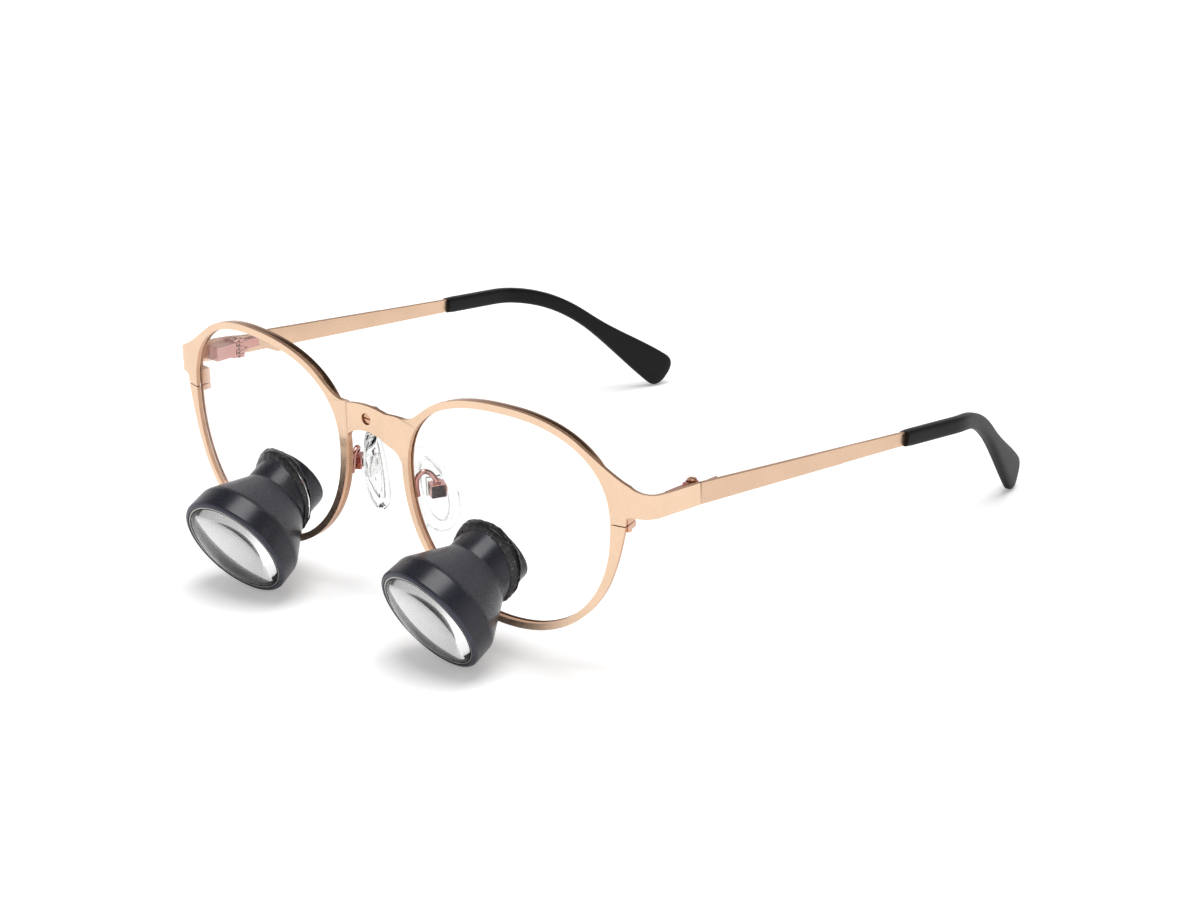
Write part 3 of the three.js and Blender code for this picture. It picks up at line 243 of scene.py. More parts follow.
joints = {j["name"]: j for j in frame["joints"]}
hinge_x = temple_x - BLADE_T - KNUCKLE_R - KNUCKLE_CLEAR
hinge_row = np.array(joints["left_temple_fold"]["pos_m"]) * 1000
hinge_front = turn("X", FRONT_TILT) @ np.array((hinge_x, bend_y + END_RUN, hinge_z, 1))
FRONT = shift(*(hinge_row - hinge_front[:3])) @ turn("X", FRONT_TILT)
HINGE = shift(*hinge_row)
TELE_TURN = turn("Z", -TELE_TOE) @ turn("X", TELE_DECLINE)
tele_aim = np.array(on_front(lens_x - TELE_IN, OPEN_Z - TELE_DOWN))
TELE_LOCAL = shift(*(tele_aim - TELE_REACH * TELE_TURN[:3, 1])) @ TELE_TURN
TELE = FRONT @ TELE_LOCAL
PAD_LOCAL = shift(*PAD_AT) @ turn("Z", PAD_SPLAY) @ turn("Y", PAD_LEAN)
PAD = FRONT @ PAD_LOCAL
AT_BRIDGE = FRONT @ shift(0, front_y(0), BRIDGE_SCREW_Z)


# Mesh makers: each returns a shape, which is (points in mm, faces)

def moved(shape, matrix, side=1):
    """A shape put in its frame, and mirrored to the right where side is -1."""
    points = placed(shape[0], matrix)
    points[:, 0] *= side
    return points, shape[1]


def merge(*shapes):
    points, faces, base = [], [], 0
    for p, f in shapes:
        points.append(np.asarray(p, float).reshape(-1, 3))
        faces += [[i + base for i in face] for face in f]
        base += len(points[-1])
    return np.vstack(points), faces


def grid_rings(rings, closed):
    """A skin over rings of points: a closed loop of them, or a run with both ends capped."""
    size, count = len(rings[0]), len(rings)
    faces = []
    for k in range(count if closed else count - 1):
        a, b = k * size, ((k + 1) % count) * size
        faces += [[a + j, a + (j + 1) % size, b + (j + 1) % size, b + j] for j in range(size)]
    if not closed:
        faces.append(list(range(size))[::-1])
        faces.append([(count - 1) * size + j for j in range(size)])
    return np.asarray(rings, float).reshape(-1, 3), faces


CORNER_SHARE = 0.45


def filleted(profile, radius, steps=3, closed=True):
    """The same outline with each corner rounded, radius one number or one per corner. A corner
    takes no more than its share of the shorter side."""
    count, points = len(profile), []
    for i, p in enumerate(profile):
        r = radius[i] if hasattr(radius, "__len__") else radius
        p = np.array(p, float)
        if not closed and i in (0, count - 1):
            points.append(p)
            continue
        a = np.array(profile[i - 1], float) - p
        b = np.array(profile[(i + 1) % count], float) - p
        la, lb = np.linalg.norm(a), np.linalg.norm(b)
        cut = min(r, CORNER_SHARE * la, CORNER_SHARE * lb)
        pa, pb = p + a / la * cut, p + b / lb * cut
        points += [(1 - t) ** 2 * pa + 2 * t * (1 - t) * p + t * t * pb
                   for t in np.linspace(0, 1, steps + 1)]
    return points


def lathe(profile, sides, closed=True):
    """A profile of (radius, along Y) turned about Y. An open one starts and ends on the axis."""
    rings = []
    for k in range(sides):
        c, s = math.cos(2 * math.pi * k / sides), math.sin(2 * math.pi * k / sides)
        rings.append([(r * c, y, r * s) for r, y in profile])
    size = len(profile)
    faces = []
    for k in range(sides):
        a, b = k * size, ((k + 1) % sides) * size
        for j in range(size if closed else size - 1):
            n = (j + 1) % size
            faces.append([a + j, b + j, b + n, a + n])
    return np.asarray(rings, float).reshape(-1, 3), faces


def block(x0, x1, y0, y1, z0, z1):
    points = [(x, y, z) for x in (x0, x1) for y in (y0, y1) for z in (z0, z1)]
    return np.array(points, float), [[0, 1, 3, 2], [4, 6, 7, 5], [0, 4, 5, 1],
                                     [2, 3, 7, 6], [0, 2, 6, 4], [1, 5, 7, 3]]


ASIDE = (0.3, 1, 0.2)


def tube(route, radius, sides=20):
    """A round wire along a route of points, which doesn't start in the direction of ASIDE."""
    route = np.asarray(route, float)
    along = np.gradient(route, axis=0)
    along /= np.linalg.norm(along, axis=1)[:, None]
    side = np.cross(along[0], ASIDE)
    angles = np.linspace(0, 2 * math.pi, sides, endpoint=False)
    rings = []
    for p, t in zip(route, along):
        side = side - (side @ t) * t
        side /= np.linalg.norm(side)
        other = np.cross(t, side)
        rings.append([p + radius * (math.cos(a) * side + math.sin(a) * other) for a in angles])
    return grid_rings(rings, False)


def catmull(points, steps):
    """Points on a smooth curve through the given ones."""
    points = [np.array(p) for p in points]
    points = [2 * points[0] - points[1], *points, 2 * points[-1] - points[-2]]
    out = []
    for a, b, c, d in zip(points, points[1:], points[2:], points[3:]):
        for k in range(steps):
            t = k / steps
            out.append(0.5 * (2 * b + (c - a) * t + (2 * a - 5 * b + 4 * c - d) * t * t
                              + (3 * b - a - 3 * c + d) * t ** 3))
    return [*out, points[-2]]


# Objects

def mesh_object(name, shape):
    points, faces = shape
    mesh = bpy.data.meshes.new(name)
    mesh.from_pydata([tuple(p) for p in np.asarray(points) * MM], [], faces)
    bm = bmesh.new()
    bm.from_mesh(mesh)
    bmesh.ops.remove_doubles(bm, verts=bm.verts, dist=WELD)
    bmesh.ops.recalc_face_normals(bm, faces=bm.faces)
    bm.to_mesh(mesh)
    bm.free()
    obj = bpy.data.objects.new(name, mesh)
    scene.collection.objects.link(obj)
    return obj


def carve(obj, cutter):
    """Takes the cutter's volume out of obj for good."""
    modifier = obj.modifiers.new("carve", "BOOLEAN")
    modifier.object, modifier.operation, modifier.solver = cutter, "DIFFERENCE", "EXACT"
    bpy.context.view_layer.update()
    carved = obj.evaluated_get(bpy.context.evaluated_depsgraph_get())
    carved = bpy.data.meshes.new_from_object(carved)
    obj.modifiers.clear()
    obj.data = carved
    bpy.data.objects.remove(cutter)


def bevel(obj, width_mm, segments=2, angle=35, material=-1):
    modifier = obj.modifiers.new("edge", "BEVEL")
    modifier.width, modifier.segments = width_mm * MM, segments
    modifier.limit_method, modifier.angle_limit = "ANGLE", rad(angle)
    modifier.material, modifier.harden_normals = material, True


def dress(obj, body, materials, node, sharp):
    """Gives a piece its materials and shading, hangs it on its body's empty and hides the solid it
    stands in for.
    """
    for material in materials:
        obj.data.materials.append(material)
    obj.data.polygons.foreach_set("use_smooth", [True] * len(obj.data.polygons))
    obj.data.set_sharp_from_angle(angle=rad(sharp))
    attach(obj, body)
    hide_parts(node)
    return obj


def both(name, shape, matrix, body, materials, sharp=35, after=None):
    """The piece on each side: the left one as given, and its mirror image on the right."""
    made = []
    for hand, side in (("left", 1), ("right", -1)):
        obj = mesh_object(f"{hand}_{name}_fine", moved(shape, matrix, side))
        if after:
            after(obj, side)
        made.append(dress(obj, body.format(hand), materials, f"{hand}_{name}", sharp))
    return made


def soften(node, material, width_mm):
    """Keeps a solid's own shape, with a better material and softened edges."""
    obj = frame["nodes"][node]
    obj.data.materials.clear()
    obj.data.materials.append(material)
    bevel(obj, width_mm)


# Materials

def ramp(tree, value, stops):
    """Colours or grey levels at their places along a value from 0 to 1."""
    node = tree.nodes.new("ShaderNodeValToRGB")
    elements = node.color_ramp.elements
    while len(elements) < len(stops):
        elements.new(0.5)
    for element, (place, color) in zip(elements, stops):
        element.position = place
        element.color = (*color, 1) if hasattr(color, "__len__") else (color, color, color, 1)
    tree.links.new(value, node.inputs["Fac"])
    return node.outputs["Color"]


class Look:
    """One material's nodes: Principled fed by noise in the object's own space."""

    def __init__(self, name, color, rough, metal=0.0, **sockets):
        self.material = bpy.data.materials.new(name)
        self.material.use_nodes = True
        self.tree = self.material.node_tree
        self.shader = self.tree.nodes["Principled BSDF"]
        self.coords = self.tree.nodes.new("ShaderNodeTexCoord")
        self.shader.inputs["Base Color"].default_value = (*color, 1)
        self.shader.inputs["Roughness"].default_value = rough
        self.shader.inputs["Metallic"].default_value = metal
        for key, value in sockets.items():
            self.shader.inputs[key.replace("_", " ")].default_value = value

    def noise(self, scale, stretch=(1, 1, 1), detail=4.0, rough=0.55):
        mapping = self.tree.nodes.new("ShaderNodeMapping")
        mapping.inputs["Scale"].default_value = stretch
        texture = self.tree.nodes.new("ShaderNodeTexNoise")
        texture.inputs["Scale"].default_value = scale
        texture.inputs["Detail"].default_value = detail
        texture.inputs["Roughness"].default_value = rough
        self.tree.links.new(self.coords.outputs["Object"], mapping.inputs["Vector"])
        self.tree.links.new(mapping.outputs["Vector"], texture.inputs["Vector"])
        return texture.outputs["Fac"]

    def vary(self, socket, value, *stops):
        """Drives a socket by a value, through the colours or levels at its stops."""
        self.to(socket, ramp(self.tree, value, stops))

    def to(self, socket, output):
        self.tree.links.new(output, self.shader.inputs[socket])

    def bump(self, value, strength, distance):
        node = self.tree.nodes.new("ShaderNodeBump")
        node.inputs["Strength"].default_value = strength
        node.inputs["Distance"].default_value = distance
        self.tree.links.new(value, node.inputs["Height"])
        self.to("Normal", node.outputs["Normal"])
        return self.material


def shade(color, factor):
    return tuple(c * factor for c in color)


def grained(look, color, cloud, shades, grain, rough, relief, until=0.7):
    """Gives a look a cloudy colour, and one fine grain in its roughness and its bump."""
    look.vary("Base Color", cloud, (0.3, shade(color, shades[0])), (until, shade(color, shades[1])))
    look.vary("Roughness", grain, (0.3, rough[0]), (0.7, rough[1]))
    return look.bump(grain, *relief)


def rose_satin(name, color):
    look = Look(name, color, 0.3, 1.0)
    return grained(look, color, look.noise(90, detail=3), (0.96, 1.03),
                   look.noise(2600, (1, 0.06, 0.35), detail=3), (0.25, 0.36), (0.05, 0.000004))


def rose_polish(name, color, low, high):
    look = Look(name, color, 0.18, 1.0)
    return grained(look, color, look.noise(160, detail=3), (0.93, 1.05),
                   look.noise(1800), (low, high), (0.08, 0.000004))


def anodised(name, color, low, high, metal, **sockets):
    look = Look(name, color, 0.4, metal, **sockets)
    return grained(look, color, look.noise(140, detail=5), (0.86, 1.16),
                   look.noise(5200, detail=2), (low, high), (0.25, 0.000012), until=0.72)


def tip_plastic(name, color):
    look = Look(name, color, 0.45, Specular_IOR_Level=0.2)
    return grained(look, color, look.noise(60, detail=3), (0.85, 1.2),
                   look.noise(3800, detail=3), (0.38, 0.52), (0.3, 0.000015))


def clear(name, color, ior, low, high, ripple, **sockets):
    look = Look(name, color, low, IOR=ior, Transmission_Weight=1.0, **sockets)
    look.vary("Roughness", look.noise(110, detail=2), (0.35, low), (0.65, high))
    return look.bump(look.noise(240, detail=2), ripple, 0.00002)


def silicone(name, color):
    look = Look(name, color, 0.06, IOR=1.41, Transmission_Weight=1.0)
    look.vary("Roughness", look.noise(420), (0.3, 0.02), (0.7, 0.1))
    return look.bump(look.noise(900, detail=3), 0.1, 0.00002)


def adhesive(name, color):
    """Smoky cured resin: dark, glossy and lumpy, with brown and pale specks that are painted
    glints.
    """
    look = Look(name, color, 0.12, IOR=1.5, Transmission_Weight=0.25)
    # The brown and pale specks are painted glints
    look.vary("Base Color", look.noise(1500, detail=3, rough=0.7),
              (0.5, (0.016, 0.016, 0.019)), (0.62, (0.05, 0.046, 0.045)),
              (0.68, (0.22, 0.14, 0.1)), (0.74, (0.5, 0.48, 0.45)))
    look.vary("Roughness", look.noise(700), (0.3, 0.06), (0.7, 0.3))
    return look.bump(look.noise(900, detail=3), 0.9, 0.00012)


GREY = (0.021, 0.022, 0.031)
SATIN = rose_satin("rose_gold_satin", (0.92, 0.66, 0.47))
# The temples' satin is a darker copy of the front's: painted shade
BLADE = rose_satin("rose_gold_blade_painted_shade", (0.78, 0.54, 0.38))
POLISH = rose_polish("rose_gold_polished", (0.86, 0.53, 0.35), 0.1, 0.18)
# The cut edges' duller finish is their own; their darker colour is painted shade
EDGE = rose_polish("rose_gold_edge_painted_shade", (0.72, 0.44, 0.29), 0.36, 0.46)
FITTING = rose_polish("rose_gold_fittings", (0.74, 0.46, 0.32), 0.12, 0.24)
# The pad arms' and hinge leaves' deeper, darker colour is painted shade
ARM = rose_polish("rose_gold_arms_painted_shade", (0.6, 0.3, 0.26), 0.06, 0.14)
# The eyewire's darker colour is painted shade, for its place in the groove behind the plate
WIRE = rose_polish("rose_gold_eyewire_painted_shade", (0.44, 0.24, 0.15), 0.14, 0.24)
BARREL = anodised("barrel_anodised", GREY, 0.24, 0.34, 0.1, Specular_IOR_Level=0.45)
# The turned edge is polished; its lighter colour and stronger metal share are a painted highlight
# line
BARREL_EDGE_HIGHLIGHT = anodised("barrel_edge_painted_highlight", shade(GREY, 2.4), 0.24, 0.36, 0.5)
BLACK = anodised("ring_black", (0.006, 0.006, 0.007), 0.3, 0.45, 0.0)
FLAT_BLACK = anodised("flat_black", (0.003, 0.003, 0.003), 0.6, 0.8, 0.0, Specular_IOR_Level=0.0)
RING_BRIGHT = anodised("ring_bare", (0.46, 0.45, 0.43), 0.1, 0.2, 1.0)
# Both lenses are coated against reflections
GLASS = clear("optical_glass", (1, 1, 1), 1.66, 0.0, 0.0005, 0.0005,
              Specular_IOR_Level=0.15, Specular_Tint=(0.1, 0.1, 0.1, 1))
LENS = clear("carrier_lens_clear", (1, 1, 1), 1.5, 0.0, 0.0005, 0.001,
             Specular_IOR_Level=0.05, Specular_Tint=(0.15, 0.15, 0.15, 1))
ADHESIVE = adhesive("adhesive_cured", (0.05, 0.05, 0.05))
SILICONE = silicone("clear_silicone", (0.855, 0.87, 0.862))
CORE = clear("pad_core_clear", (0.96, 0.97, 0.965), 1.42, 0.02, 0.06, 0.05)
TIP = tip_plastic("tip_plastic_black", (0.0035, 0.0034, 0.004))


# Front plate

BEND_COLUMNS, RUN_COLUMNS, FLAT_COLUMNS, FOLD_COLUMNS = 20, 8, 6, 18
SCREW_HOLE_R, HOLE_REACH = 1.3, 2
PLATE_BEVEL, PLATE_FACING = 0.17, 0.7


def front_plate():
    """Both rims, the bridge and the end pieces, laid out flat and then bent on the front."""
    flat, known, cells = [], {}, []

    def vertex(p, side):
        key = (round(side * p[0], 3), round(p[1], 3))
        if key not in known:
            known[key] = len(flat)
            flat.append((side * p[0], p[1]))
        return known[key]

    def quad(corners, side):
        cell = [vertex(p, side) for p in corners]
        cells.append(cell if side > 0 else cell[::-1])

    def strip(columns, low, high, rows, side):
        def at(s, row):
            return (s, lerp(low(s), high(s), row / rows))
        for a, b in zip(columns, columns[1:]):
            for row in range(rows):
                quad([at(a, row), at(b, row), at(b, row + 1), at(a, row + 1)], side)

    bend_end = end_x + bend_length
    ends = [*spread(end_x, bend_end, BEND_COLUMNS), *spread(bend_end, end_length, RUN_COLUMNS),
            end_length]
    bridge = [*spread(0, fold_in, FLAT_COLUMNS), *spread(fold_in, root_x, FOLD_COLUMNS), root_x]
    for side in (1, -1):
        for a, b in zip(rim_angles, rim_angles[1:]):
            quad([outline(a, 0), plate_edge(a), plate_edge(b), outline(b, 0)], side)
        strip(ends, end_low, end_top, END_ROWS, side)
        strip(bridge, bridge_low, bridge_top, BRIDGE_ROWS, side)
    count = len(flat)
    points = [on_front(s, z, depth) for depth in (0.0, PLATE_T) for s, z in flat]
    faces, edges = [], {}
    for cell in cells:
        faces.append(cell)
        faces.append([count + i for i in cell[::-1]])
        for a, b in zip(cell, cell[1:] + cell[:1]):
            if edges.pop((b, a), None) is None:
                edges[(a, b)] = True
    return points, faces + [[b, a, count + a, count + b] for a, b in edges]


plate = mesh_object("front_plate_fine", moved(front_plate(), FRONT))
HOLE = [(0, -HOLE_REACH), (SCREW_HOLE_R, -HOLE_REACH), (SCREW_HOLE_R, HOLE_REACH), (0, HOLE_REACH)]
carve(plate, mesh_object("hole", moved(lathe(HOLE, sides=64, closed=False), AT_BRIDGE)))
dress(plate, "front", [SATIN, EDGE, POLISH], "front_plate", sharp=30)
bevel(plate, PLATE_BEVEL, segments=3, material=2)
plate.data.update()

# The sheet's faces are satin and its cut edges duller, their darker colour painted shade; the bevel
# between them is polished
to_front = np.linalg.inv(FRONT[:3, :3])
for polygon in plate.data.polygons:
    across, depth, _ = to_front @ np.array(polygon.normal)
    bent = abs(polygon.center.x) * 1000 >= end_x
    facing = math.hypot(across, depth) if bent else abs(depth)
    polygon.material_index = 0 if facing > PLATE_FACING else 1


# Bridge screw and boss

SLOT_REACH, SLOT_HALF = 2, 0.2


def slotted(node, profile, matrix, slot_from, slot_to):
    """A turned screw with a slot cut across its head."""
    screw = lathe(filleted(profile, 0.1, closed=False), sides=48, closed=False)
    slot = block(-SLOT_REACH, SLOT_REACH, slot_from, slot_to, -SLOT_HALF, SLOT_HALF)
    obj = mesh_object(f"{node}_fine", moved(screw, matrix))
    carve(obj, mesh_object("slot", moved(slot, matrix)))
    dress(obj, "front", [FITTING], node, sharp=30)


BRIDGE_SCREW = [(0, 0.35), (1.2, 0.35), (1.2, 3.0), (0, 3.0)]
BRIDGE_BOSS = [(1.3, 0.95), (2.3, 0.95), (2.0, 3.0), (1.3, 3.0)]
slotted("bridge_screw", BRIDGE_SCREW, AT_BRIDGE, -1, 0.85)
boss = lathe(filleted(BRIDGE_BOSS, 0.15), sides=64)
boss = mesh_object("bridge_boss_fine", moved(boss, AT_BRIDGE))
dress(boss, "front", [FITTING], "bridge_boss", sharp=30)


# Eyewires and carrier lenses

def eyewire():
    section = filleted([(EYEWIRE_OUT, EYEWIRE_NEAR), (GROOVE_OUT, EYEWIRE_NEAR),
                        (GROOVE_OUT, GROOVE_FAR), (EYEWIRE_IN, GROOVE_FAR),
                        (EYEWIRE_IN, EYEWIRE_FAR), (EYEWIRE_OUT, EYEWIRE_FAR)],
                       0.12, steps=2)
    return grid_rings([[on_front(*outline(angle, offset), depth) for offset, depth in section]
                       for angle in rim_angles], False)


both("eyewire", eyewire(), FRONT, "front", [WIRE], sharp=30)

HOLE_CLEAR, HOLE_DEPTH, HOLE_STEPS = 0.4, 1.5, 240
LENS_STEPS, LENS_RINGS = 220, 22
TELE_GUESS, TELE_ROUNDS = 0.7, 10


def lens_depth(point):
    """How far a point in the front's frame lies behind the carrier lens's own curve."""
    x, y, z = point
    return (y - front_y(x)) * math.cos(math.atan(slope(x))) + crown(x, z)


def along_tele(angle, r, depth):
    """Where a line beside the telescope's axis, r from it, reaches a depth in the lens."""
    s = BARREL_LENGTH * TELE_GUESS
    for _ in range(TELE_ROUNDS):
        p = placed([(r * math.cos(angle), s, r * math.sin(angle))], TELE_LOCAL)[0]
        s += (depth - lens_depth(p)) / math.cos(rad(TELE_DECLINE))
    return s


def hole_point(angle, r):
    """The telescope's hole as seen from the front, as (x, z)."""
    s = along_tele(angle, r, HOLE_DEPTH)
    return placed([(r * math.cos(angle), s, r * math.sin(angle))], TELE_LOCAL)[0][[0, 2]]


def carrier_lens():
    middle = hole_point(0, 0)
    hole = np.array([hole_point(2 * math.pi * k / HOLE_STEPS, NECK_R + HOLE_CLEAR)
                     for k in range(HOLE_STEPS)]) - middle
    bearing = np.arctan2(hole[:, 1], hole[:, 0])
    order = np.argsort(bearing)
    bearing, reach = bearing[order], np.linalg.norm(hole, axis=1)[order]
    rings = []
    for k in range(LENS_STEPS):
        edge = outline(2 * math.pi * k / LENS_STEPS, LENS_LAP)
        way = edge - middle
        r = np.interp(math.atan2(way[1], way[0]), bearing, reach, period=2 * math.pi)
        near = middle + way / np.linalg.norm(way) * r
        line = [lerp(near, edge, t) for t in np.linspace(0, 1, LENS_RINGS)]
        rings.append([on_front(x, z, LENS_NEAR - crown(x, z)) for x, z in line]
                     + [on_front(x, z, LENS_FAR - crown(x, z)) for x, z in line[::-1]])
    return grid_rings(rings, True)


both("carrier_lens", carrier_lens(), FRONT, "front", [LENS], sharp=50)

for hand in ("left", "right"):
    for part in ("closing_block_upper", "closing_block_lower", "closing_screw"):
        soften(f"{hand}_{part}", FITTING, 0.08)


# Telescopes. Turned profiles are (radius, along the axis from the front rim).

BARREL_SIDES, LENS_SIDES, RING_SIDES, EYEPIECE_SIDES = 160, 200, 128, 96
# The barrel's third number is the rounding of that corner
BARREL_PROFILE = [(11.9, -0.69, 0.1), (12.27, -0.69, 0.12), (12.76, -0.42, 0.12), (12.96, 0, 0.12),
                  (12.75, 4.5, 0.1), (12.5, 5.3, 0.15), (8.12, 13.3, 0.35),
                  (NECK_R, NECK_START, 0.35), (NECK_R, BARREL_LENGTH, 0.15),
                  (6.85, BARREL_LENGTH, 0.1), (6.85, 17.15, 0.05), (6.2, 17.15, 0.1),
                  (6.2, NECK_START, 0.3), (10.7, 5.5, 0.3), (10.7, 3.6, 0.05), (11.9, 3.6, 0.05)]
FRONT_EDGE_R, FRONT_EDGE_TO, BORE_FROM, BORE_TO = 11.95, -0.05, 3.0, 18
DOME_R, DOME_FROM, DOME_DEEP = 11.3, -3.5, 2.9
SEAT_R, SEAT_FROM, SEAT_TO = 11.8, 0.55, 3.55
REAR_R, REAR_DEEP = 10.7, 0.3
BLACK_EDGE_R, BLACK_EDGE_FROM, BLACK_REAR_R, BLACK_REAR_FROM = 11.25, -0.58, 9.6, 3.3
LOCK_RING = [(11.5, -0.6), (11.8, -0.6), (11.8, 0.5), (11.35, 0.5)]
EYE_R, EYE_FROM, EYE_DEEP, EYE_SEAT_R, EYE_FRONT, EYE_BACK = 5.55, 18.7, 0.9, 6.75, 17.2, 19.6
EYE_RING = [(5.55, 19.65), (6.75, 19.65), (6.75, 21.65), (7.7, 21.65), (7.45, 22.2), (5.8, 22.2)]


def tele_faces(obj, side):
    """Each face of a telescope's piece, how far along the axis it is, and its way out from it."""
    at, axis = TELE[:3, 3] * (side, 1, 1), TELE[:3, 1] * (side, 1, 1)
    for polygon in obj.data.polygons:
        out = np.array(polygon.center) * 1000 - at
        along = out @ axis
        yield polygon, along, out - along * axis


def barrel_zones(obj, side):
    """The turned front edge takes the second material, a lighter copy of the barrel's whose colour
    is a painted highlight, and the bore the third, black.
    """
    for polygon, along, out in tele_faces(obj, side):
        if along < FRONT_EDGE_TO and np.linalg.norm(out) > FRONT_EDGE_R:
            polygon.material_index = 1
        elif BORE_FROM < along < BORE_TO and out @ np.array(polygon.normal) < 0:
            polygon.material_index = 2


barrel = filleted([p[:2] for p in BARREL_PROFILE], [p[2] for p in BARREL_PROFILE], steps=4)
both("barrel", lathe(barrel, BARREL_SIDES), TELE, "front",
     [BARREL, BARREL_EDGE_HIGHLIGHT, FLAT_BLACK], sharp=60, after=barrel_zones)


def objective():
    """A dome that fills the rim, a blackened edge with a shoulder, and a hollow rear face."""
    dome = [(r, DOME_FROM + DOME_DEEP * (r / DOME_R) ** 2) for r in np.linspace(0, DOME_R, 36)]
    rear = [(r, SEAT_TO - REAR_DEEP * (1 - (r / REAR_R) ** 2)) for r in np.linspace(REAR_R, 0, 30)]
    seat = [(DOME_R, SEAT_FROM), (SEAT_R, SEAT_FROM), (SEAT_R, SEAT_TO)]
    return lathe([*dome, *seat, *rear], LENS_SIDES, closed=False)


def blacken(obj, side):
    """The edge, the shoulder and the outer part of the rear face take the second material."""
    for polygon, along, out in tele_faces(obj, side):
        off = np.linalg.norm(out)
        edge = off > BLACK_EDGE_R and along > BLACK_EDGE_FROM
        rear = off > BLACK_REAR_R and along > BLACK_REAR_FROM
        polygon.material_index = 1 if edge or rear else 0


both("objective_lens", objective(), TELE, "front", [GLASS, FLAT_BLACK],
     sharp=25, after=blacken)
both("objective_lock_ring", lathe(filleted(LOCK_RING, 0.06), RING_SIDES), TELE, "front",
     [RING_BRIGHT])


def eyepiece():
    hollow = [(r, EYE_FROM + EYE_DEEP * (r / EYE_R) ** 2) for r in np.linspace(0, EYE_R, 20)]
    seat = [(EYE_SEAT_R, EYE_BACK), (EYE_SEAT_R, EYE_FRONT), (3, EYE_FRONT), (0, EYE_FRONT)]
    return lathe([*hollow, *seat], EYEPIECE_SIDES, closed=False)


both("eyepiece_lens", eyepiece(), TELE, "front", [GLASS], sharp=25)
both("eyepiece_ring", lathe(filleted(EYE_RING, 0.1), EYEPIECE_SIDES), TELE, "front",
     [BLACK])

BEAD_IN, BEAD_HOLE, BEAD_WIDE, BEAD_LAP, BEAD_STEPS = 7.75, 8.05, 0.65, 0.1, 180
# Shares by which the bead follows the barrel's cone at its tip and its middle, how full it is
# at its middle, and how far it stays off the neck's two ends
BEAD_CONE, BEAD_CONE_MIDDLE, BEAD_FULL, BEAD_CLEAR = 0.6, 0.4, 0.6, 0.05
# The bead's unevenness: waves round it, their height and where they start
BEAD_WAVES = [(3, 0.16, 0.7), (7, 0.1, 0), (19, 0.05, 1), (31, 0.05, 0)]


def bead():
    """Adhesive round the neck on both faces of the lens, following the line where they meet."""
    inner, hole, rings = BEAD_IN, BEAD_HOLE, []
    for k in range(BEAD_STEPS):
        a = 2 * math.pi * k / BEAD_STEPS
        wave = 1 + sum(size * math.sin(times * a + start) for times, size, start in BEAD_WAVES)
        w = hole + BEAD_WIDE * wave
        middle = (inner + w) / 2
        places = (inner, middle, w, hole)
        near = {r: along_tele(a, r, LENS_NEAR) - BEAD_LAP for r in places}
        far = {r: along_tele(a, r, LENS_FAR) + BEAD_LAP for r in places}
        tip = near[inner] - wave
        cone = BEAD_CONE * max(NECK_START - tip, 0)
        section = [(inner, max(tip + BEAD_CLEAR, NECK_START + BEAD_CLEAR)), (inner + cone, tip),
                   (middle + BEAD_CONE_MIDDLE * cone, near[middle] - BEAD_FULL * wave),
                   (w, near[w]), (hole, near[hole]), (hole, far[hole]), (w, far[w]),
                   (middle, far[middle] + BEAD_FULL * wave),
                   (inner, min(far[inner] + wave, BARREL_LENGTH - BEAD_CLEAR))]
        rings.append([(r * math.cos(a), s, r * math.sin(a))
                      for r, s in filleted(section, 0.22, steps=2)])
    return grid_rings(rings, True)


both("bond_bead", bead(), TELE, "front", [ADHESIVE], sharp=60)


# Nose pads, with their arms, screws and cores

PAD_EYE, PAD_EYE_CLEAR, BOX_WIDTH, BOX_WALL = 0.93, 0.15, 3.2, 0.7
BOX_CLEAR, BOX_HALF = PAD_EYE + PAD_EYE_CLEAR, BOX_WIDTH / 2
BOX_FAR = BOX_CLEAR + BOX_WALL
COLLAR_X, COLLAR_R, COLLAR_TOP, ARM_R, ARM_END = 0.4, 0.8, BOX_FAR + 0.8, 0.55, BOX_FAR + 0.4
ARM_ROOT_ANGLE, ARM_LIFT, ARM_REACH, ARM_BACK = 193, 0.6, 5, 3
# The arm's way from the eyewire, as shares of its reach (x, z) and of its way back
ARM_WAY = [(0, 0, 0), (-0.06, 0.44, 0), (-0.06, 0.8, 0.13), (0.02, 1, 0.57), (0.18, 0.88, 1)]
PAD_SCREW = [(0, -1.6), (0.45, -1.6), (0.45, 1.65), (0.75, 1.65), (0.75, 2.1), (0, 2.1)]
PAD_MIDDLE, PAD_TILT = np.array((-3.5, 0.5, -1.6)), rad(14)
PAD_LENGTH, PAD_WIDTH, PAD_THICK, PAD_TAPER, PAD_BOW = 20.5, 10.4, 2.6, 0.16, 0.6
PAD_POCKET = (-2.9, 1, -1.6, 1.6, -2.1, 2.1)
# The pad's faces dip inside their edge: rings by share of thickness and inset
PAD_HOLLOW = [(0.12, 2.5), (0.06, 2.3), (0, 2.1)]
PAD_SIDES = 72


def clevis():
    """A box between two cheeks, open towards the pad and underneath."""
    inner = BOX_HALF - BOX_WALL
    outer, _ = block(-BOX_CLEAR, BOX_FAR, -BOX_HALF, BOX_HALF, -BOX_CLEAR, BOX_FAR)
    hollow, _ = block(-BOX_CLEAR, BOX_CLEAR, -inner, inner, -BOX_CLEAR, BOX_CLEAR)
    faces = [[4, 6, 7, 5], [0, 4, 5, 1], [2, 3, 7, 6], [1, 5, 7, 3],
             [0, 8, 9, 11, 10, 2, 3, 1], [0, 4, 6, 2, 10, 14, 12, 8],
             [8, 12, 13, 9], [10, 11, 15, 14], [12, 14, 15, 13], [9, 13, 15, 11]]
    return np.vstack((outer, hollow)), faces


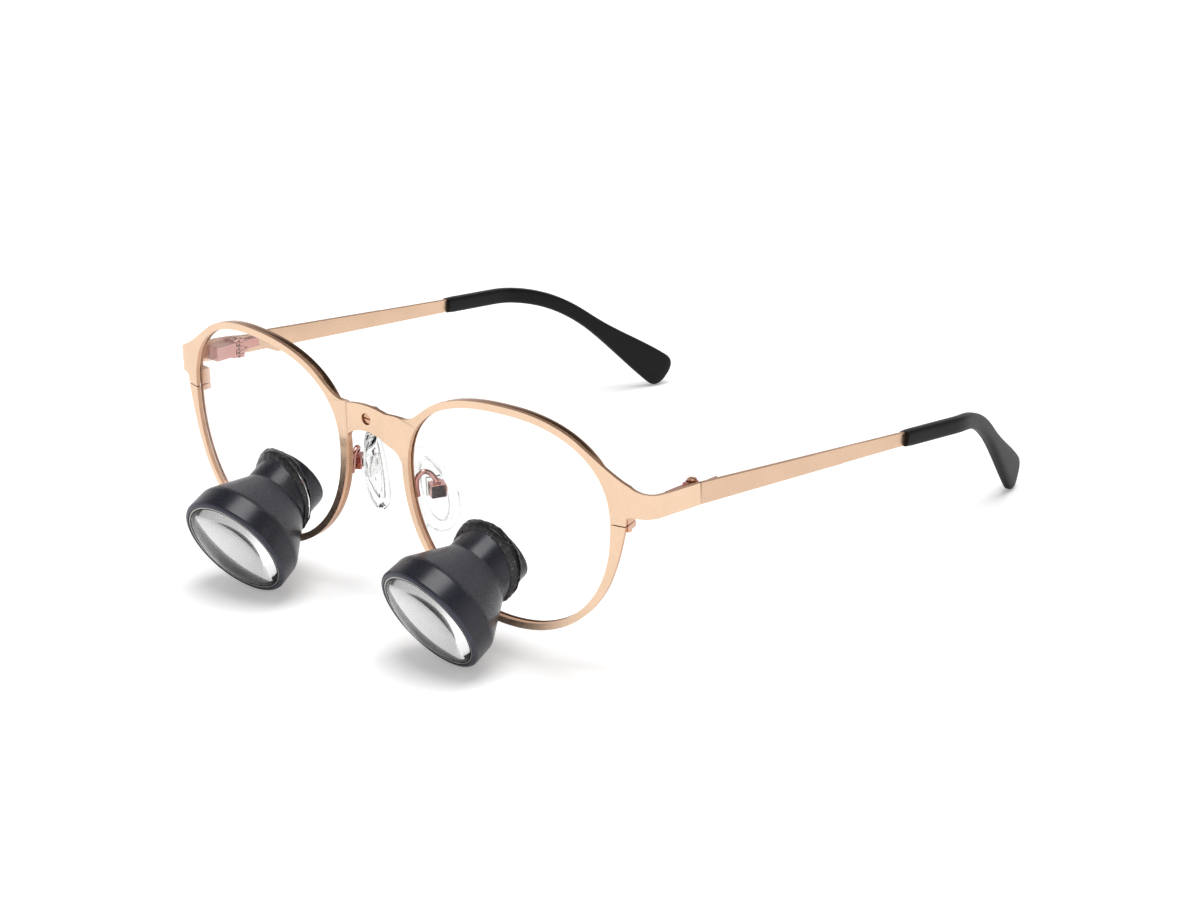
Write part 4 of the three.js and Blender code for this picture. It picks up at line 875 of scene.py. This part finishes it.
def pad_arm():
    """The clevis box, the collar on it, and the wire that comes to it from the eyewire."""
    to_pad = np.linalg.inv(PAD_LOCAL)
    root_s, root_z = outline(rad(ARM_ROOT_ANGLE), EYEWIRE_OUT / 2)
    rest = EYEWIRE_FAR + ARM_LIFT
    way = [on_front(root_s + ARM_REACH * x, root_z + ARM_REACH * z, rest + ARM_BACK * d)
           for x, z, d in ARM_WAY]
    route = [*placed(way, to_pad), (COLLAR_X, 0, ARM_END)]
    profile = [(0, BOX_CLEAR), (COLLAR_R, BOX_CLEAR), (COLLAR_R, COLLAR_TOP), (0, COLLAR_TOP)]
    points, faces = lathe(filleted(profile, 0.12, closed=False), sides=32, closed=False)
    collar = (points[:, [0, 2, 1]] + (COLLAR_X, 0, 0), faces)
    return merge(clevis(), collar, tube(catmull(route, steps=10), ARM_R))


for obj in both("pad_arm", pad_arm(), PAD, "front", [ARM], sharp=30):
    bevel(obj, 0.1, angle=50)
pad_screw = lathe(filleted(PAD_SCREW, 0.1, closed=False), sides=40, closed=False)
both("pad_screw", pad_screw, PAD, "front", [FITTING])
for hand in ("left", "right"):
    soften(f"{hand}_pad_core", CORE, 0.12)


def nose_pad():
    """A soft oval with round edges, hollow faces and a slight bow, narrower at its top."""
    bulge = [(t, (1 - math.sqrt(max(1 - (2 * t - 1) ** 2, 0.1))) * PAD_THICK / 2)
             for t in [0, *np.linspace(0.02, 0.98, 24), 1]]
    rings = []
    for t, inset in [*PAD_HOLLOW, *bulge, *((1 - t, inset) for t, inset in PAD_HOLLOW[::-1])]:
        x = PAD_THICK * (t - 0.5)
        ring = []
        for k in range(PAD_SIDES):
            a = 2 * math.pi * k / PAD_SIDES
            z = (PAD_LENGTH / 2 - inset) * math.sin(a)
            taper = 1 - PAD_TAPER * (z / PAD_LENGTH + 0.5)
            y = (PAD_WIDTH / 2 - inset) * math.cos(a) * taper
            along = z * math.cos(PAD_TILT) + y * math.sin(PAD_TILT)
            across = y * math.cos(PAD_TILT) - z * math.sin(PAD_TILT)
            ring.append(PAD_MIDDLE + (x - PAD_BOW * (2 * z / PAD_LENGTH) ** 2, across, along))
        rings.append(ring)
    return grid_rings(rings, False)


def pad_pocket(obj, side):
    """Room for the core in the pad's outer face."""
    carve(obj, mesh_object("pocket", moved(block(*PAD_POCKET), PAD, side)))


for obj in both("nose_pad", nose_pad(), PAD, "{}_pad", [SILICONE], sharp=50,
                after=pad_pocket):
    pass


# Hinges

LEAF_FROM, LEAF_LENGTH, LEAF_LAP = KNUCKLE_R + 0.2, 5.5, 0.5
KNUCKLE_ARM_IN, KNUCKLE_ARM_FROM = -0.81, 0.7
FRONT_LEAF_IN, FRONT_LEAF_H, TEMPLE_LEAF_T, TEMPLE_LEAF_H = -1.08, 3.3, 1.1, 2.8
SCREW_R, HEAD_R, HEAD_H, HEAD_SLOT = 0.6, 1, 0.5, 0.25


def hinge_leaf(first, direction, leaf_in, wall, height):
    """Every second knuckle from the first, the arms that carry them, and the leaf's plate."""
    parts = []
    for i in range(first, KNUCKLES, 2):
        low = -half_hinge + i * KNUCKLE_PITCH
        high = low + KNUCKLE_H
        profile = [(KNUCKLE_BORE, low), (KNUCKLE_R, low), (KNUCKLE_R, high), (KNUCKLE_BORE, high)]
        points, faces = lathe(filleted(profile, 0.08), sides=48)
        parts.append((points[:, [0, 2, 1]], faces))
        y = sorted((direction * KNUCKLE_ARM_FROM, direction * (LEAF_FROM + LEAF_LAP)))
        parts.append(block(KNUCKLE_ARM_IN, wall, *y, low, high))
    y = sorted((direction * LEAF_FROM, direction * (LEAF_FROM + LEAF_LENGTH)))
    parts.append(block(leaf_in, wall, *y, -height / 2, height / 2))
    return merge(*parts)


wall_x = temple_x - PLATE_T - LEAF_WALL_GAP - hinge_x
front_leaf = hinge_leaf(0, -1, FRONT_LEAF_IN, wall_x, FRONT_LEAF_H)
temple_leaf = hinge_leaf(1, 1, wall_x - TEMPLE_LEAF_T, wall_x, TEMPLE_LEAF_H)
for obj in [*both("hinge_front_leaf", front_leaf, HINGE, "front", [ARM]),
            *both("hinge_temple_leaf", temple_leaf, HINGE, "{}_side", [ARM])]:
    bevel(obj, 0.12, angle=50)

head_low = half_hinge + HEAD_GAP
head_top = head_low + HEAD_H
HINGE_SCREW = [(0, -half_hinge), (SCREW_R, -half_hinge), (SCREW_R, head_low), (HEAD_R, head_low),
               (HEAD_R, head_top), (0, head_top)]
for hand, side in (("left", 1), ("right", -1)):
    upright = shift(side * hinge_row[0], hinge_row[1], hinge_row[2]) @ turn("X", 90)
    slotted(f"{hand}_hinge_screw", HINGE_SCREW, upright,
            head_low + HEAD_SLOT, head_low + SLOT_REACH)


# Temples: the blade, and the tip that bends down and in to a paddle

# The blade's sections: how far back, height, and how far the outer face is stepped in
BLADE_FROM, STEP_AT, STEP_H, STEP_IN = 0.15, 46.4, 3.6, 0.15
BLADE_ROWS = [*((y, lerp(BLADE_H, STEP_H, (y - BLADE_FROM) / (STEP_AT - BLADE_FROM)), 0.0)
                for y in (BLADE_FROM, 15.0, 30.0, STEP_AT)),
              (46.6, STEP_H, STEP_IN), (57.0, 3.36, STEP_IN), (68.5, 3.1, STEP_IN),
              (82.5, 2.5, STEP_IN)]
BLADE_FLAT, BLADE_CUT = 0.97, 0.2
TIP_AT, TIP_LOW, TIP_HIGH, TIP_THICK = 68.5, 3.6, 8.6, 2.85
# Stretches of the tip, as lengths along it
DROP_FROM, DROP_TO, DROP_FALL = 14, 51.0, 39
TURN_FROM, TURN_TO, TURN_IN = 16, 25, 18.5
WIDEN_FROM, WIDEN_TO = 45.0, 75.6
ROUND_FROM, ROUND_LENGTH, ROUND_POWER = 72.0, 3.5, 2.6
ROUND_SHARES = (0, 0.2, 0.4, 0.55, 0.68, 0.78, 0.86, 0.92, 0.96, 0.985, 0.997)
MOUTH_TUCK, MOUTH_LENGTH, END_THIN, PADDLE_RISE = 0.06, 0.25, 0.35, 0.5
TIP_SIDES, TIP_SQUARE, TIP_STRIDES = 56, 0.6, 8


def fall(y):
    return -y * math.tan(rad(TEMPLE_FALL))


def blade():
    outer = temple_x - hinge_x
    inner = outer - BLADE_T
    rings = []
    for y, height, step in BLADE_ROWS:
        low, high = fall(y) - height / 2, fall(y) + height / 2
        corners = [(outer - step, low), (outer - step, high), (inner, high), (inner, low)]
        rings.append([(x, y, z) for x, z in filleted(corners, 0.14)])
    return grid_rings(rings, False)


# The blade's satin and its cut edges both carry painted shade in their colours
for obj in both("temple", blade(), HINGE, "{}_side", [BLADE, EDGE, POLISH],
                sharp=30):
    for polygon in obj.data.polygons:
        across = abs(polygon.normal.x)
        polygon.material_index = 0 if across > BLADE_FLAT else 1 if across < BLADE_CUT else 2


def tip():
    """Rings along a path that drops and turns in, growing to a paddle with a rounded end."""
    place, at = np.array((temple_x - BLADE_T / 2 - hinge_x, TIP_AT, fall(TIP_AT))), 0.0
    marks = [*np.linspace(0, DROP_FROM, 8), *np.linspace(DROP_FROM + 1, DROP_TO, 30),
             *np.linspace(DROP_TO + 1, ROUND_FROM, 18)[:-1],
             *(ROUND_FROM + ROUND_LENGTH * t for t in ROUND_SHARES)]

    def heading(run):
        return (rad(lerp(TEMPLE_FALL, DROP_FALL, smooth(run, DROP_FROM, DROP_TO))),
                rad(TURN_IN) * smooth(run, TURN_FROM, TURN_TO))

    def rounded(value):
        return math.copysign(abs(value) ** TIP_SQUARE, value)

    rings = []
    for mark in marks:
        stride = (mark - at) / TIP_STRIDES
        for i in range(TIP_STRIDES):
            f, s = heading(at + stride * (i + 0.5))
            place = place + stride * np.array((-math.sin(s) * math.cos(f),
                                               math.cos(s) * math.cos(f), -math.sin(f)))
        at = mark
        f, s = heading(mark)
        up = np.array((-math.sin(s) * math.sin(f), math.cos(s) * math.sin(f), math.cos(f)))
        side = np.array((math.cos(s), math.sin(s), 0))
        widen = smooth(mark, WIDEN_FROM, WIDEN_TO)
        near_end = max((mark - ROUND_FROM) / ROUND_LENGTH, 0)
        tuck = (1 - near_end ** ROUND_POWER) ** (1 / ROUND_POWER)
        mouth = 1 - MOUTH_TUCK * math.exp(-mark / MOUTH_LENGTH)
        high = lerp(TIP_LOW, TIP_HIGH, widen) * tuck * mouth
        thick = TIP_THICK * lerp(END_THIN, 1, tuck) * mouth
        ring = []
        for k in range(TIP_SIDES):
            a = 2 * math.pi * (k + 0.5) / TIP_SIDES
            ring.append(place + up * PADDLE_RISE * widen
                        + side * rounded(math.cos(a)) * thick / 2
                        + up * rounded(math.sin(a)) * high / 2)
        rings.append(ring)
    return grid_rings(rings, False)


both("temple_tip", tip(), HINGE, "{}_side", [TIP], sharp=50)


# Camera at the photograph's viewpoint

AZIMUTH, ELEVATION, ROLL = rad(41.59), rad(20.20), rad(0.50)
CAMERA_AT, CAMERA_LENS, CAMERA_SENSOR = (0.4624, -0.5192, 0.2743), 98.955, 36
back = Vector((math.sin(AZIMUTH) * math.cos(ELEVATION), -math.cos(AZIMUTH) * math.cos(ELEVATION),
               math.sin(ELEVATION)))
level = Vector((math.cos(AZIMUTH), math.sin(AZIMUTH), 0))
over = back.cross(level)
right = level * math.cos(ROLL) + over * math.sin(ROLL)
up = over * math.cos(ROLL) - level * math.sin(ROLL)
camera = bpy.data.objects.new("camera", bpy.data.cameras.new("camera"))
camera.data.sensor_width, camera.data.lens = CAMERA_SENSOR, CAMERA_LENS
camera.data.clip_start, camera.data.clip_end = 0.01, 50
camera_turn = Matrix((right, up, back)).transposed().to_4x4()
camera.matrix_world = Matrix.Translation(CAMERA_AT) @ camera_turn
scene.collection.objects.link(camera)
scene.camera = camera


# Floor, lamp and world

FLOOR_HALF, FLOOR_Z = 6, -0.0002
FLOOR_GLOW, MIRRORED_DIM = 0.27, -0.18
SUN_TOWARD, SUN_ANGLE, SUN_STRENGTH = (0.12, -0.05, 0.99), 38, 1.9
AMBIENT, WHITE = 0.4, (1, 1, 1, 1)
# In reflections the room is dark above its white table: grey levels by height
ROOM = [(0.02, 1.0), (0.36, 0.6), (0.64, 0.06)]


def math_node(tree, operation, *inputs, clamp=False):
    node = tree.nodes.new("ShaderNodeMath")
    node.operation, node.use_clamp = operation, clamp
    for socket, value in zip(node.inputs, inputs):
        if isinstance(value, float):
            socket.default_value = value
        else:
            tree.links.new(value, socket)
    return node.outputs[0]


def seen_rays(tree):
    """Two switches: rays that are seen, from the camera, off gloss or through glass, and those
    of them that come off gloss alone."""
    path = tree.nodes.new("ShaderNodeLightPath")
    eye, gloss, through = (path.outputs[f"Is {kind} Ray"]
                           for kind in ("Camera", "Glossy", "Transmission"))
    seen = math_node(tree, "MAXIMUM", eye, gloss, clamp=True)
    return (math_node(tree, "MAXIMUM", seen, through, clamp=True),
            math_node(tree, "SUBTRACT", gloss, through, clamp=True))


floor_mesh = bpy.data.meshes.new("floor")
floor_mesh.from_pydata([(x * FLOOR_HALF, y * FLOOR_HALF, 0)
                        for x, y in ((-1, -1), (1, -1), (1, 1), (-1, 1))], [], [(0, 1, 2, 3)])
floor = bpy.data.objects.new("floor", floor_mesh)
floor.location.z = FLOOR_Z
scene.collection.objects.link(floor)
paper = Look("floor_paper", (0.97, 0.97, 0.97), 0.9, Specular_IOR_Level=0.1, Emission_Color=WHITE)
paper.vary("Base Color", paper.noise(3), (0.3, 0.965), (0.7, 0.975))
total, mirrored = seen_rays(paper.tree)
glow = math_node(paper.tree, "MULTIPLY", total, FLOOR_GLOW)
paper.to("Emission Strength",
         math_node(paper.tree, "MULTIPLY_ADD", mirrored, MIRRORED_DIM, glow))
floor_mesh.materials.append(paper.material)

sun_data = bpy.data.lights.new("overhead", "SUN")
sun_data.angle, sun_data.energy = rad(SUN_ANGLE), SUN_STRENGTH
sun = bpy.data.objects.new("overhead", sun_data)
sun.rotation_mode = "QUATERNION"
sun.rotation_quaternion = Vector(SUN_TOWARD).to_track_quat("Z", "Y")
scene.collection.objects.link(sun)

world = bpy.data.worlds.new("studio")
scene.world = world
world.use_nodes = True
tree = world.node_tree
seen, ambient = tree.nodes["Background"], tree.nodes.new("ShaderNodeBackground")
ambient.inputs["Color"].default_value = WHITE
ambient.inputs["Strength"].default_value = AMBIENT
total, mirrored = seen_rays(tree)
coords, split = tree.nodes.new("ShaderNodeTexCoord"), tree.nodes.new("ShaderNodeSeparateXYZ")
tree.links.new(coords.outputs["Generated"], split.inputs[0])
sky = tree.nodes.new("ShaderNodeMix")
sky.data_type = "RGBA"
tree.links.new(mirrored, sky.inputs["Factor"])
sky.inputs[6].default_value = WHITE
tree.links.new(ramp(tree, split.outputs["Z"], ROOM), sky.inputs[7])
tree.links.new(sky.outputs[2], seen.inputs["Color"])
seen.inputs["Strength"].default_value = 1.0
mix = tree.nodes.new("ShaderNodeMixShader")
tree.links.new(total, mix.inputs[0])
tree.links.new(ambient.outputs[0], mix.inputs[1])
tree.links.new(seen.outputs[0], mix.inputs[2])
tree.links.new(mix.outputs[0], tree.nodes["World Output"].inputs["Surface"])

scene.view_settings.view_transform = "Standard"
